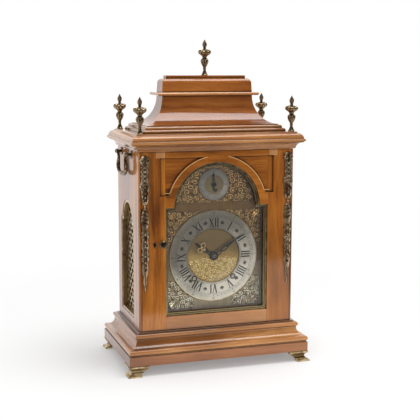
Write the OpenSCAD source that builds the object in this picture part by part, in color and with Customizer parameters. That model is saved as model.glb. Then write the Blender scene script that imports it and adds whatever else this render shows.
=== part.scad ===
// Bell-top bracket clock: walnut case with a hinged front door, glazed back door, brass dial,
// two-train movement with a short pendulum, and a bell. Millimetres, front towards -Y, +Z up.

/* [Case] */
// Width of the case between its corners
case_w = 265; // [245:1:290]
// Depth of the case with the door shut
case_d = 144; // [138:1:160]
// Height of the case between base and cornice
case_h = 292.8; // [288:1:310]
// Thickness of the side boards
board_t = 14; // [12:0.5:18]
// Thickness of the front door
door_t = 16; // [14:0.5:18]
// Gap round the front door
door_gap = 0.6; // [0.4:0.1:1]
// Thickness of the back frame and back door
back_t = 12; // [10:0.5:13]
// Width of the back frame's stiles and rails
back_rail = 26; // [20:1:32]

/* [Base] */
// Height of the brass feet
foot_h = 17; // [12:0.5:20]
// Length of each foot along the plinth
foot_l = 33; // [26:1:44]
// Height of the plinth band
band_h = 16; // [12:0.5:22]
// Thickness of the plinth band
band_t = 15; // [10:1:20]
// Reach of the plinth beyond the case
base_reach = 22.5; // [20:0.5:28]
// Height of the base moulding
base_h = 34.7; // [33:0.1:40]

/* [Top] */
// Height of the cornice
cornice_h = 28; // [26:0.5:34]
// Reach of the cornice beyond the case
cornice_reach = 15.4; // [13:0.2:20]
// Height of the stepped moulding on the cornice
step_h = 10.5; // [9:0.5:14]
// How far the bell's hollow curve draws in
cove_reach = 33.8; // [28:0.2:36]
// Height of the bell's hollow curve
cove_h = 48; // [40:1:60]
// Thickness of the shelf above the hollow curve
shelf_t = 5; // [4:0.5:7]
// Height of the top block, without its cap
block_h = 22.5; // [18:0.5:30]
// Radius of the top block's shoulders
block_r = 7.5; // [5:0.5:7.5]
// Height of the cap on the top block
cap_h = 5; // [3:0.5:8]
// Height of each finial
finial_h = 58.6; // [50:0.5:66]
// Radius of the finials' cups
finial_r = 11.2; // [9:0.2:12]

/* [Front door] */
// Width of the door's glazed opening
opening_w = 176; // [166:1:184]
// Height of the opening's lower edge above the case's foot
opening_z = 22.3; // [18:0.5:26]
// Radius of the opening's arch
arch_r = 74; // [66:1:78]
// Width of the raised band round the arch
arch_band = 12; // [8:0.5:14]
// Width of the sunk spandrel panels beside the arch
spandrel_w = 9.3; // [6:0.5:12]
// Depth of the sunk spandrel panels
spandrel_depth = 3; // [1:0.5:4]
// Width of the brass bezel
bezel_w = 4.7; // [3:0.2:7]
// Depth of the bezel behind the door's face
bezel_depth = 4; // [2:0.5:5]
// Thickness of the bezel
bezel_t = 5; // [3:0.5:6]
// Thickness of the door glass
glass_t = 2; // [1.5:0.5:3]
// Radius of the door knob
knob_r = 6.3; // [5:0.2:8]
// Width of the brass mounts on the stiles
mount_w = 17; // [12:0.5:18]
// Length of a hinge
hinge_l = 36; // [26:1:50]

/* [Side openings] */
// Width of the side openings
window_w = 82; // [60:1:90]
// Height of the side openings without their arch
window_h = 159; // [130:1:165]
// Height of the side openings' sill above the case's foot
window_z = 14.3; // [12:0.5:24]
// Radius of the side openings' arch
window_r = 33; // [24:1:38]
// Width of the brass frame in the side openings
fret_edge = 4; // [2.5:0.5:6]
// Width of the fret's scales
fret_pitch = 17; // [13:0.5:20]
// Width of the bars between the scales
fret_bar = 2.6; // [1.6:0.2:3.6]

/* [Carrying handles] */
// Width of a handle over its arms
handle_w = 58; // [46:1:70]
// Drop of a handle below its pivots
handle_drop = 38; // [34:1:50]
// Radius of a handle's rod
handle_r = 3.2; // [2.4:0.1:3.4]
// Distance of a handle's pivots from the side
handle_reach = 8; // [7.5:0.5:14]

/* [Dial] */
// Width of the dial plate
dial_w = 180; // [172:1:190]
// Thickness of the dial plate
dial_t = 2; // [1.5:0.25:3]
// Outer radius of the chapter ring
ring_r = 76.4; // [70:0.2:80]
// Inner radius of the chapter ring
ring_in = 46; // [40:1:50]
// Thickness of the chapter ring
ring_t = 2.5; // [1.5:0.25:3]
// Radius of the strike dial in the arch
strike_r = 26; // [20:0.5:30]
// Length of the minute hand
minute_l = 62; // [50:1:70]
// Length of the hour hand
hour_l = 41; // [32:1:44]

/* [Movement] */
// Width of the movement's plates
plate_w = 128; // [126:1:140]
// Height of the movement's plates
plate_h = 152; // [150:1:160]
// Thickness of the movement's plates
plate_t = 3; // [2:0.5:4]
// Distance between the plates
plate_gap = 47; // [45:0.5:52]
// Sideways distance of each winding arbor from the centre
wind_x = 34; // [33:0.5:37]
// Drop of the winding arbors below the hands
wind_drop = 36.7; // [34:0.1:40]
// Radius of the spring barrels
drum_r = 24; // [18:0.5:25]
// Thickness of the train wheels
wheel_t = 2; // [1.2:0.2:2.4]
// Length of the pendulum from its pivot to the bob
pendulum_l = 148; // [130:1:152]
// Radius of the pendulum bob
bob_r = 16; // [12:0.5:20]
// Radius of the bell's mouth
bell_r = 34; // [26:1:36]
// Height of the bell
bell_h = 24; // [18:1:28]

/* [Hidden] */
$fn = 64;

// Clearances: between shafts and bores, between pieces that only stand near each other,
// and how far a cutting shape runs past the surface that it cuts
running = 0.06;
near_gap = 0.3;
past = 1;

// Colours
wood = [0.56, 0.33, 0.15];
wood_dark = [0.45, 0.22, 0.10];
old_brass = [0.45, 0.38, 0.26];
brass = [0.72, 0.60, 0.35];
silvered = [0.66, 0.66, 0.63];
steel = [0.36, 0.38, 0.42];
blued = [0.08, 0.08, 0.12];
clear_glass = [0.8, 0.9, 0.9, 0.35];

// Heights of the case's storeys
band_z = foot_h;
base_z = band_z + band_h;
case_z = base_z + base_h;
top_z = case_z + case_h;
step_z = top_z + cornice_h;
cove_z = step_z + step_h;
shelf_z = cove_z + cove_h;
block_z = shelf_z + shelf_t;
cap_z = block_z + block_h;
peak_z = cap_z + cap_h;

// Depths: the door, the side boards behind it and the back
half_w = case_w / 2;
half_d = case_d / 2;
door_y = -half_d;
door_back = door_y + door_t;
side_y = door_back + door_gap;
back_y = half_d;

// ---- Outlines and mouldings ----

// Points of an elliptical arc in a moulding's profile
function arc_points(cx, cz, rx, rz, from, to, n = 10) =
    [for (i = [0 : n]) let (a = from + (to - from) * i / n) [cx + rx * cos(a), cz + rz * sin(a)]];

// A profile of [reach beyond the case, height] points, mirrored about the middle
function both_sides(edge, half) = concat(
    [for (p = edge) [half + p[0], p[1]]],
    [for (i = [len(edge) - 1 : -1 : 0]) [-half - edge[i][0], edge[i][1]]]);

// A profile with all its reaches made smaller
function drawn_in(edge, by) = [for (p = edge) [p[0] - by, p[1]]];

// Rectangular moulded storey with mitred corners
module moulded(edge) {
    intersection() {
        rotate([90, 0, 0])
            linear_extrude(height = 4 * case_d, center = true) polygon(both_sides(edge, half_w));
        rotate([90, 0, 90])
            linear_extrude(height = 4 * case_w, center = true) polygon(both_sides(edge, half_d));
    }
}

// Extrudes an outline drawn in X and Z along Y, from y0 to y1
module slab_y(y0, y1) {
    translate([0, y1, 0]) rotate([90, 0, 0]) linear_extrude(height = y1 - y0) children();
}

// Extrudes an outline drawn in Y and Z along X, from x0 to x1
module slab_x(x0, x1) {
    translate([x0, 0, 0]) rotate([90, 0, 90]) linear_extrude(height = x1 - x0) children();
}

// Box between two corners
module box(low, high) {
    translate(low) cube(high - low);
}

// Round bar along Y
module rod_y(x, z, r, y0, y1) {
    translate([x, y1, z]) rotate([90, 0, 0]) cylinder(r = r, h = y1 - y0);
}

// Round bar along X
module rod_x(y, z, r, x0, x1) {
    translate([x0, y, z]) rotate([0, 90, 0]) cylinder(r = r, h = x1 - x0);
}

// ---- Base ----

// Reach of the foot's spreading toe beyond the plinth
toe_reach = 3;
foot_wall = 9;
foot_plate_t = 2.5;
foot_neck = 5;
foot_edge = concat(
    [[base_reach + toe_reach, 0], [base_reach + toe_reach, 0.12 * foot_h]],
    arc_points(base_reach + toe_reach + 0.5, 0.5 * foot_h, foot_neck + toe_reach, 0.34 * foot_h,
               -110, -220, 8),
    [[base_reach + 0.6, foot_h - foot_plate_t], [base_reach + 0.6, foot_h]]);

// Cast bracket feet: two ogee wings that meet at each corner of the plinth
module feet() {
    out_x = half_w + base_reach + toe_reach;
    out_y = half_d + base_reach + toe_reach;
    color(old_brass) intersection() {
        moulded(foot_edge);
        for (sx = [-1, 1]) for (sy = [-1, 1])
            translate([sx * out_x, sy * out_y, 0]) mirror([sx > 0 ? 1 : 0, 0, 0])
                mirror([0, sy > 0 ? 1 : 0, 0]) foot_block();
    }
}

// Plan of one foot, from the corner outwards; each wing ends in an ogee, long above and short below
foot_reach = foot_l + toe_reach;
foot_toe = 0.63 * foot_reach;
foot_rise = foot_h - foot_plate_t;
foot_end = concat(
    [[foot_toe, -past]],
    [for (t = [0 : 0.125 : 1]) [foot_toe + (foot_reach - foot_toe) * (1 - cos(180 * t)) / 2,
                                (0.12 + 0.88 * t) * foot_rise]],
    [[foot_reach + past, foot_rise], [foot_reach + past, -past]]);

module foot_block() {
    difference() {
        cube([foot_reach, foot_reach, foot_h]);
        translate([foot_wall + toe_reach, foot_wall + toe_reach, -past])
            cube([foot_reach, foot_reach, foot_rise + past]);
        slab_y(-past, foot_reach + past) polygon(foot_end);
        slab_x(-past, foot_reach + past) polygon(foot_end);
    }
}

// Plain band under the moulding
module plinth_band() {
    color(wood) difference() {
        moulded([[base_reach, band_z], [base_reach, base_z]]);
        moulded([[base_reach - band_t, band_z - past], [base_reach - band_t, base_z + past]]);
    }
}

// Quirk, torus, hollow and bead from the plinth up to the case
quirk_h = 1.2;
torus_r = 4.5;
bead_r = 4;
bead_reach = 9.7;
floor_t = 12;
torus_z = base_z + quirk_h + torus_r;
bead_z = case_z - 6;
hollow_h = bead_z - bead_r - 0.6 - (torus_z + torus_r);
base_edge = concat(
    [[base_reach - 2, base_z], [base_reach - 2, base_z + quirk_h]],
    arc_points(base_reach - torus_r, torus_z, torus_r, torus_r, -60, 75, 8),
    arc_points(base_reach - 5, torus_z + torus_r + hollow_h, base_reach - 12, hollow_h, -90, -180, 8),
    [[bead_reach - 2.7, bead_z - bead_r]],
    arc_points(bead_reach - bead_r, bead_z, bead_r, bead_r, -75, 80, 8),
    [[3, bead_z + bead_r], [3, case_z]]);

module base_moulding() {
    color(wood) difference() {
        moulded(base_edge);
        moulded([[-board_t / 2, base_z - past], [-board_t / 2, case_z - floor_t]]);
    }
}

// ---- Case ----

// Break-arch outline of a side opening, drawn in Y and Z, made smaller by inset
window_y = (side_y + back_y) / 2;
sill_z = case_z + window_z;
module window_outline(inset = 0) {
    translate([window_y - window_w / 2 + inset, sill_z + inset])
        square([window_w - 2 * inset, window_h - 2 * inset]);
    translate([window_y, sill_z + window_h]) circle(r = window_r - inset);
}

// Shallow seat for the hinge leaves of the door in the right side board
leaf_t = 1.2;
leaf_w = 12;
hinge_low = case_z + 30;
hinge_high = top_z - 30 - hinge_l;
knuckle_r = 2;
hinge_x = half_w + knuckle_r + 0.1;
hinge_y = door_back + door_gap / 2;

module side_board(side) {
    x0 = side > 0 ? half_w - board_t : -half_w;
    difference() {
        box([x0, side_y, case_z], [x0 + board_t, back_y, top_z]);
        slab_x(x0 - past, x0 + board_t + past) window_outline();
    }
}

module side_left() {
    color(wood) side_board(-1);
}

module side_right() {
    color(wood) difference() {
        side_board(1);
        for (z = [hinge_low, hinge_high])
            box([half_w - leaf_w - 0.1, side_y - past, z - 0.1],
                [half_w + past, side_y + leaf_t + 0.05, z + hinge_l + 0.1]);
    }
}

// Back frame between the side boards, with the opening for the back door
in_w = half_w - board_t;
back_in = back_y - back_t;
rear_w = in_w - back_rail;
rear_low = case_z + back_rail;
rear_high = top_z - back_rail;
rear_hinge_x = rear_w + 0.2;
rear_hinge_y = back_y + knuckle_r;
rear_hinge_low = rear_low + 20;
rear_hinge_high = rear_high - 20 - hinge_l;

module back_frame() {
    color(wood_dark) difference() {
        box([-in_w, back_in, case_z], [in_w, back_y, top_z]);
        box([-rear_w, back_in - past, rear_low], [rear_w, back_y + past, rear_high]);
        for (z = [rear_hinge_low, rear_hinge_high])
            box([rear_w - past, back_in + 1.9, z - 0.1],
                [rear_w + leaf_t + 0.05, back_y + past, z + hinge_l + 0.1]);
    }
}

// Brass fret: a frame that lines the opening and a pierced sheet of overlapping scales
fret_depth = 9;
fret_t = 1.5;
fret_rows = floor((window_h + window_r) / (fret_pitch / 2));
fret_cols = ceil(window_w / fret_pitch / 2);

// Each hole lies under its own bar and over the bars of the two scales below it
module scale_holes() {
    for (row = [0 : fret_rows]) for (col = [-fret_cols : fret_cols])
        translate([window_y + (col + (row % 2) / 2) * fret_pitch, sill_z + row * fret_pitch / 2])
            difference() {
                circle(r = (fret_pitch - fret_bar) / 2, $fn = 24);
                for (s = [-1, 1]) translate([s, -1] * fret_pitch / 2)
                    circle(r = (fret_pitch + fret_bar) / 2, $fn = 24);
            }
}

module fret(side) {
    face = side > 0 ? half_w - 1 : -half_w + 1;
    back = face - side * fret_depth;
    sheet = back + side * fret_t;
    slab_x(min(face, back), max(face, back)) difference() {
        window_outline(0.1);
        window_outline(fret_edge);
    }
    slab_x(min(sheet, back), max(sheet, back)) difference() {
        window_outline(fret_edge - 0.5);
        intersection() {
            window_outline(fret_edge + 1);
            scale_holes();
        }
    }
}

module side_frets() {
    color(old_brass) fret(-1);
    color(old_brass) fret(1);
}

// ---- Top ----

// Undercut, lip and rounded upper member of the cornice
lip_z = top_z + 12.5;
lip_t = 3.5;
cornice_edge = concat(
    [[2, top_z], [2.5, top_z + 1.5]],
    arc_points(cornice_reach - 2.4, top_z + 1.5, cornice_reach - 5.4, 9, 180, 90, 8),
    [[cornice_reach - 2.4, lip_z - 0.5], [cornice_reach, lip_z], [cornice_reach, lip_z + lip_t],
     [cornice_reach - 2, lip_z + lip_t + 0.6], [cornice_reach - 2.2, lip_z + lip_t + 1.8]],
    [for (t = [0.2 : 0.2 : 0.8]) [cornice_reach - 2.2 - 8.2 * t + 1.4 * sin(180 * t),
                                  lip_z + lip_t + 1.8 + 8.2 * t + 1.4 * sin(180 * t)]],
    [[cornice_reach - 10.8, step_z - 1.8], [cornice_reach - 11.2, step_z]]);

module cornice() {
    color(wood) difference() {
        moulded(cornice_edge);
        box([-in_w, side_y + 3, top_z - past], [in_w, back_in, top_z + cornice_h - floor_t - 2]);
    }
}

// Two small rounded steps
step_in = 10.3;
step_r = step_h * 0.34;
step_edge = concat(
    [[-step_in, step_z]],
    arc_points(-step_in - step_r, step_z + step_h / 2 - step_r, step_r, step_r, 0, 80, 6),
    [[-step_in - 4.7, step_z + step_h / 2 + 0.2]],
    arc_points(-step_in - 4.7 - step_r, cove_z - step_r, step_r, step_r, 0, 80, 6),
    [[-step_in - 9.2, cove_z]]);

module upper_moulding() {
    color(wood) moulded(step_edge);
}

// Bell: the hollow curve, on a low fillet
cove_foot = step_in + 10.2;
cove_wall = 9;
cove_edge = concat(
    [[-cove_foot, cove_z]],
    arc_points(-cove_foot, shelf_z, cove_reach, cove_h - 1.2, -90, -180, 16));

module bell_cove() {
    color(wood) difference() {
        moulded(cove_edge);
        intersection() {
            moulded(drawn_in(cove_edge, cove_wall));
            box([-case_w, -case_d, cove_z - past], [case_w, case_d, shelf_z - cove_wall]);
        }
    }
}

neck_in = cove_foot + cove_reach;
shelf_in = neck_in - 9.4;
module shelf_moulding() {
    color(wood) moulded([[-shelf_in - 1.5, shelf_z], [-shelf_in, shelf_z + 0.3 * shelf_t],
                         [-shelf_in, block_z - 0.3 * shelf_t], [-shelf_in - 1.5, block_z]]);
}

// Block with rounded shoulders and a thin cap
cap_in = neck_in + block_r + 1.5;
module bell_block() {
    color(wood) moulded(concat(
        [[-neck_in, block_z]],
        arc_points(-neck_in - block_r - 0.7, cap_z - block_r, block_r, block_r, 0, 90, 8),
        [[-cap_in - 0.6, cap_z], [-cap_in, cap_z + 0.2 * cap_h], [-cap_in, peak_z]]));
}

// Turned and cast finial: foot, knop, urn, lobed cup and bud; the points are shares of its height
finial_points = [[0, 0], [0.60, 0], [0.60, 0.03], [0.34, 0.08], [0.20, 0.13], [0.33, 0.16],
                 [0.20, 0.19], [0.24, 0.22], [0.52, 0.32], [0.66, 0.42], [0.58, 0.45], [0.28, 0.47],
                 [0.42, 0.50], [0.62, 0.55], [1.00, 0.61], [1.00, 0.64], [0.74, 0.68],
                 [0.26, 0.72], [0.16, 0.76], [0.30, 0.83], [0.31, 0.88], [0.16, 0.96], [0, 1]];

module finial() {
    color(old_brass) rotate_extrude()
        polygon([for (p = finial_points) [p[0] * finial_r, p[1] * finial_h]]);
}

finial_in = 3.3;
module corner_finials() {
    for (sx = [-1, 1]) for (sy = [-1, 1])
        translate([sx * (half_w - finial_in), sy * (half_d - finial_in), step_z]) finial();
}

module centre_finial() {
    translate([0, 0, peak_z]) finial();
}

// ---- Carrying handles ----

// The bail's path down one side: [share of the arm's distance, share of the drop, share of the radius]
bail_points = [[1.06, 0, 0.85], [0.87, 0.22, 0.72], [0.96, 0.38, 0.92], [1.03, 0.56, 1.06],
               [0.96, 0.74, 0.98], [0.66, 0.87, 0.88], [0.30, 0.90, 1.0], [0, 0.885, 1.2]];
arm_out = handle_w / 2 - handle_r;
eye_y = bail_points[0][0] * arm_out;
eye_r = 3.4;
eye_t = 1.8;
post_z = top_z - 7.5;
post_r = 4;
post_y = eye_y + 6.9;
pivot_r = 1.4;
handle_play = 0.09;
pivot_x = half_w + handle_reach;

// One pair of posts: roses on the side, necks, and bored heads
module post_pair() {
    translate([0, window_y, 0]) for (s = [-1, 1]) difference() {
        union() {
            rod_x(s * post_y, post_z, 6.5, half_w, half_w + 1.5);
            rod_x(s * post_y, post_z, 2.2, half_w + 1, pivot_x);
            translate([pivot_x, s * post_y, post_z]) sphere(r = post_r);
        }
        rod_y(pivot_x, post_z, pivot_r + handle_play, min(0, s * 2 * post_y), max(0, s * 2 * post_y));
    }
}

module handle_posts() {
    color(old_brass) post_pair();
    color(old_brass) mirror([1, 0, 0]) post_pair();
}

// The whole path as [y, z, radius], from one eye to the other, with smooth steps between its points
bail_side = [for (p = bail_points) [p[0] * arm_out, -p[1] * handle_drop, p[2] * handle_r]];
bail_line = concat(
    [for (p = bail_side) [-p[0], p[1], p[2]]],
    [for (i = [len(bail_side) - 2 : -1 : 0]) bail_side[i]]);
bail_end = len(bail_line) - 1;
function between(a, b, c, d, t) =
    b + (c - a) * t / 2 + (2 * a - 5 * b + 4 * c - d) * t * t / 2 + (3 * b - a - 3 * c + d) * t * t * t / 2;
bail_path = concat(
    [for (i = [0 : bail_end - 1]) for (t = [0 : 1 / 3 : 0.7])
        between(bail_line[max(i - 1, 0)], bail_line[i], bail_line[i + 1],
                bail_line[min(i + 2, bail_end)], t)],
    [bail_line[bail_end]]);

// Round bar along a path of [y, z, radius] points in one plane
module swept(path, sides = 14) {
    last = len(path) - 1;
    points = [for (i = [0 : last]) let (step = path[min(i + 1, last)] - path[max(i - 1, 0)],
                                        long = norm([step[0], step[1]]))
        for (k = [0 : sides - 1]) let (a = 360 * k / sides)
            [path[i][2] * cos(a), path[i][0] - path[i][2] * sin(a) * step[1] / long,
             path[i][1] + path[i][2] * sin(a) * step[0] / long]];
    walls = [for (i = [0 : last - 1]) for (k = [0 : sides - 1])
        let (c = i * sides + k, d = i * sides + (k + 1) % sides)
            for (face = [[c, d, d + sides], [c, d + sides, c + sides]]) face];
    polyhedron(points, concat(walls, [[for (k = [sides - 1 : -1 : 0]) k],
                                      [for (k = [0 : sides - 1]) last * sides + k]]));
}

// Bail: eyes on stub pins, arms that curve in and swell, and a grip that is thickest in the middle
module bail() {
    color(old_brass) translate([pivot_x, window_y, post_z]) {
        swept(bail_path);
        for (s = [-1, 1]) {
            rod_y(0, 0, pivot_r, s > 0 ? eye_y - 1 : -post_y - 2.4, s > 0 ? post_y + 2.4 : -eye_y + 1);
            rod_y(0, 0, eye_r, s * eye_y - eye_t, s * eye_y + eye_t);
        }
    }
}

module handle_right() {
    bail();
}

module handle_left() {
    mirror([1, 0, 0]) bail();
}

// ---- Front door ----

door_low = case_z + door_gap;
door_high = top_z - door_gap;
opening_low = case_z + opening_z;
arch_z = top_z - arch_band - arch_r - 7.5;
shoulder_z = arch_z + 2;
panel_low = arch_z + 21.5;
panel_high = door_high - 10;
bead_corner = 2.2;

// Break-arch outline of the door's opening, made smaller by inset
module opening_outline(inset = 0) {
    translate([-opening_w / 2 + inset, opening_low + inset])
        square([opening_w - 2 * inset, shoulder_z - opening_low - 2 * inset]);
    translate([0, arch_z]) circle(r = arch_r - inset, $fn = 96);
}

// Sunk panel behind both the head and the tops of the stiles
module spandrel_cut() {
    slab_y(door_y - past, door_y + spandrel_depth) difference() {
        translate([-opening_w / 2 - spandrel_w, panel_low])
            square([opening_w + 2 * spandrel_w, panel_high - panel_low]);
        translate([0, arch_z]) circle(r = arch_r + arch_band, $fn = 96);
    }
}

// Plan of a stile: a plain board with a bead worked on its outer corner
module stile_plan() {
    difference() {
        translate([opening_w / 2, door_y]) square([half_w - opening_w / 2, door_t]);
        translate([half_w - 2 * bead_corner, door_y - past])
            square([2 * bead_corner + past, 2 * bead_corner + past]);
    }
    translate([half_w - bead_corner, door_y + bead_corner]) circle(r = bead_corner, $fn = 24);
    translate([half_w - 2 * bead_corner - 0.1, door_y + 0.6])
        square([bead_corner, 2 * bead_corner]);
    translate([half_w - bead_corner - 0.6, door_y + bead_corner])
        square([bead_corner, bead_corner + 0.1]);
}

module stile() {
    difference() {
        translate([0, 0, door_low]) linear_extrude(height = door_high - door_low) stile_plan();
        spandrel_cut();
    }
}

// Knob shaft's bore and keyhole in the left stile, shared out between the opening and the mount
mount_edge = 1;
mount_x = half_w - mount_w / 2 - mount_edge;
stile_free = mount_x - (mount_w + opening_w) / 2;
knob_x = -opening_w / 2 - 0.226 * stile_free;
key_x = -opening_w / 2 - 0.68 * stile_free;
key_plate_r = 3;
knob_rise = 143.5;
knob_z = case_z + knob_rise;
shaft_r = 2.5;
module door_left_stile() {
    color(wood) difference() {
        mirror([1, 0, 0]) stile();
        rod_y(knob_x, knob_z, shaft_r + running, door_y - past, door_back + past);
        rod_y(key_x, knob_z, 1.6, door_y - past, door_y + 8);
    }
}

module door_right_stile() {
    color(wood) difference() {
        stile();
        for (z = [hinge_low, hinge_high])
            box([half_w - leaf_w - 0.1, door_back - leaf_t - 0.05, z - 0.1],
                [half_w + past, door_back + past, z + hinge_l + 0.1]);
    }
}

module door_head() {
    color(wood) difference() {
        box([-opening_w / 2, door_y, shoulder_z], [opening_w / 2, door_back, door_high]);
        slab_y(door_y - past, door_back + past) translate([0, arch_z]) circle(r = arch_r, $fn = 96);
        spandrel_cut();
    }
}

module door_bottom_rail() {
    color(wood) box([-opening_w / 2, door_y, door_low], [opening_w / 2, door_back, opening_low]);
}

// Brass sight bezel with a bevelled inner edge, and the glass behind it
bezel_y = door_y + bezel_depth;
glass_y = bezel_y + bezel_t;
module door_bezel() {
    color(brass) {
        slab_y(bezel_y + 1.5, glass_y) difference() {
            opening_outline(0.15);
            opening_outline(bezel_w);
        }
        slab_y(bezel_y, bezel_y + 1.5) difference() {
            opening_outline(0.15);
            opening_outline(0.55 * bezel_w);
        }
    }
}

module door_glass() {
    color(clear_glass) slab_y(glass_y, glass_y + glass_t) opening_outline(0.3);
}

// Butt hinges: the case's outer knuckles hold the pin, the door's middle knuckle turns on it
pin_r = 0.9;
knuckle_l = hinge_l / 3;

module outer_knuckles(x, y, z) {
    for (low = [z, z + 2 * knuckle_l + 0.15])
        translate([x, y, low]) cylinder(r = knuckle_r, h = knuckle_l - 0.15);
    translate([x, y, z]) cylinder(r = pin_r, h = hinge_l);
}

module middle_knuckle(x, y, z) {
    translate([x, y, z + knuckle_l]) cylinder(r = knuckle_r, h = knuckle_l);
}

module pin_bore(x, y, z) {
    translate([x, y, z - past]) cylinder(r = pin_r + running, h = hinge_l + 2 * past);
}

// A leaf beside its knuckles: the outer ones, or the middle one
module leaf_heights(z, outer) {
    if (outer) for (low = [z, z + 2 * knuckle_l + 0.15])
        translate([0, 0, low]) linear_extrude(height = knuckle_l - 0.15) children();
    else translate([0, 0, z + knuckle_l]) linear_extrude(height = knuckle_l) children();
}

module door_hinges() {
    for (z = [hinge_low, hinge_high]) color(brass) difference() {
        union() {
            middle_knuckle(hinge_x, hinge_y, z);
            leaf_heights(z, false) translate([half_w - leaf_w, door_back - leaf_t])
                square([leaf_w + knuckle_r, leaf_t]);
            box([half_w - leaf_w, door_back - leaf_t, z], [half_w - 0.4, door_back, z + hinge_l]);
        }
        pin_bore(hinge_x, hinge_y, z);
    }
}

// Case-side leaves of both doors, and the keeper of the front door's latch
keeper_y = door_back + door_gap;
latch_t = 1.8;
latch_l = 21;
module case_fittings() {
    color(brass) for (z = [hinge_low, hinge_high]) {
        outer_knuckles(hinge_x, hinge_y, z);
        leaf_heights(z, true) translate([half_w - leaf_w, side_y])
            square([leaf_w + knuckle_r, leaf_t]);
        box([half_w - leaf_w, side_y, z], [half_w - 0.4, side_y + leaf_t, z + hinge_l]);
    }
    color(brass) for (z = [rear_hinge_low, rear_hinge_high]) {
        outer_knuckles(rear_hinge_x, rear_hinge_y, z);
        leaf_heights(z, true) translate([rear_w, back_in + 2])
            square([leaf_t, back_t + knuckle_r - 2]);
        box([rear_w, back_in + 2, z], [rear_w + leaf_t, back_y - 0.4, z + hinge_l]);
    }
    color(brass) difference() {
        box([-in_w, keeper_y, knob_z - 9], [-in_w + 8, keeper_y + 8, knob_z + 9]);
        box([-in_w + 1.5, keeper_y + 1.5, knob_z - 9 - past],
            [-in_w + 8 + past, keeper_y + 8 + past, knob_z + 9 + past]);
    }
}

// Turned knob, its shaft through the stile, and the latch arm behind
latch_y = keeper_y + 2.1;
module door_knob() {
    color(old_brass) {
        rod_y(knob_x, knob_z, shaft_r, door_y - 3, latch_y + latch_t);
        translate([knob_x, door_y - 0.2, knob_z]) rotate([90, 0, 0]) rotate_extrude()
            polygon([[0, 0], [0.66 * knob_r, 0], [0.66 * knob_r, 1], [0.5 * knob_r, 2],
                     [0.5 * knob_r, 3.4], [knob_r, 5], [knob_r, 7], [0.7 * knob_r, 8.6], [0, 9]]);
        box([knob_x - 3, latch_y, knob_z - 4], [knob_x + 3, latch_y + latch_t, knob_z + latch_l]);
    }
}

module door_escutcheon() {
    color(old_brass) difference() {
        slab_y(door_y - 0.8, door_y) {
            translate([key_x, knob_z]) circle(r = key_plate_r, $fn = 32);
            translate([key_x, knob_z - 3.5]) circle(r = 0.65 * key_plate_r, $fn = 32);
        }
        rod_y(key_x, knob_z, 1.6, door_y - past, door_y + past);
        box([key_x - 0.8, door_y - past, knob_z - 4], [key_x + 0.8, door_y + past, knob_z]);
    }
}

// Cast mounts on the stiles. Outline: [share of the length, share of the width]
mount_edge_line = [[0, 0.24], [0.02, 0.44], [0.05, 0.5], [0.08, 0.42], [0.2, 0.38], [0.215, 0.5],
                   [0.245, 0.5], [0.26, 0.42], [0.32, 0.46], [0.355, 0.3], [0.365, 0.1], [0.385, 0.1],
                   [0.4, 0.32], [0.43, 0.44], [0.5, 0.46], [0.565, 0.4], [0.635, 0.45], [0.7, 0.38],
                   [0.78, 0.3], [0.86, 0.22], [0.93, 0.16]];
// Lobes: [share of the length, share of the width, height of the relief]
mount_l = 220;
mount_high = door_high - 5.5;
mount_lobes = [[0.035, 0.84, 4.2], [0.232, 0.9, 4.5], [0.33, 0.62, 3.4], [0.43, 0.74, 4.2],
               [0.495, 0.82, 4.4], [0.57, 0.7, 4], [0.635, 0.8, 4.2], [0.705, 0.66, 3.6],
               [0.77, 0.5, 3.2], [0.83, 0.38, 2.8]];

// Low dome of the given radius and height, standing on the door's face
module dome(x, z, r, h) {
    ball = (r * r + h * h) / (2 * h);
    intersection() {
        translate([x, door_y + ball - h, z]) sphere(r = ball);
        box([x - r - past, door_y - h - past, z - r - past], [x + r + past, door_y, z + r + past]);
    }
}

module corner_mount() {
    outline = [for (p = mount_edge_line) [p[1] * mount_w, mount_high - p[0] * mount_l]];
    color(old_brass) {
        for (lobe = mount_lobes)
            dome(mount_x, mount_high - lobe[0] * mount_l, lobe[1] * mount_w / 2, lobe[2]);
        slab_y(door_y - 2.2, door_y) translate([mount_x, 0])
            polygon(concat(outline, [[0, mount_high - mount_l]],
                           [for (i = [len(outline) - 1 : -1 : 0]) [-outline[i][0], outline[i][1]]]));
    }
}

module corner_mounts() {
    corner_mount();
    mirror([1, 0, 0]) corner_mount();
}

// ---- Back door ----

rear_gap = 0.4;
rear_stile = 20;
module rear_door_frame() {
    color(wood) difference() {
        box([-rear_w + rear_gap, back_in, rear_low + rear_gap],
            [rear_w - rear_gap, back_y, rear_high - rear_gap]);
        box([-rear_w + rear_stile, back_in - past, rear_low + rear_stile],
            [rear_w - rear_stile, back_y + past, rear_high - rear_stile]);
        box([-rear_w + rear_stile - 3, back_in - past, rear_low + rear_stile - 3],
            [rear_w - rear_stile + 3, back_in + 4, rear_high - rear_stile + 3]);
        for (z = [rear_hinge_low, rear_hinge_high])
            box([rear_w - rear_gap - leaf_t - 0.05, back_in + 1.9, z - 0.1],
                [rear_w + past, back_y + past, z + hinge_l + 0.1]);
        rod_y(-rear_w + rear_stile / 2, knob_z, 2, back_in + 3, back_y + past);
    }
}

module rear_door_glass() {
    color(clear_glass) box([-rear_w + rear_stile - 2.7, back_in + 4 - glass_t, rear_low + rear_stile - 2.7],
                           [rear_w - rear_stile + 2.7, back_in + 4, rear_high - rear_stile + 2.7]);
}

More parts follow.
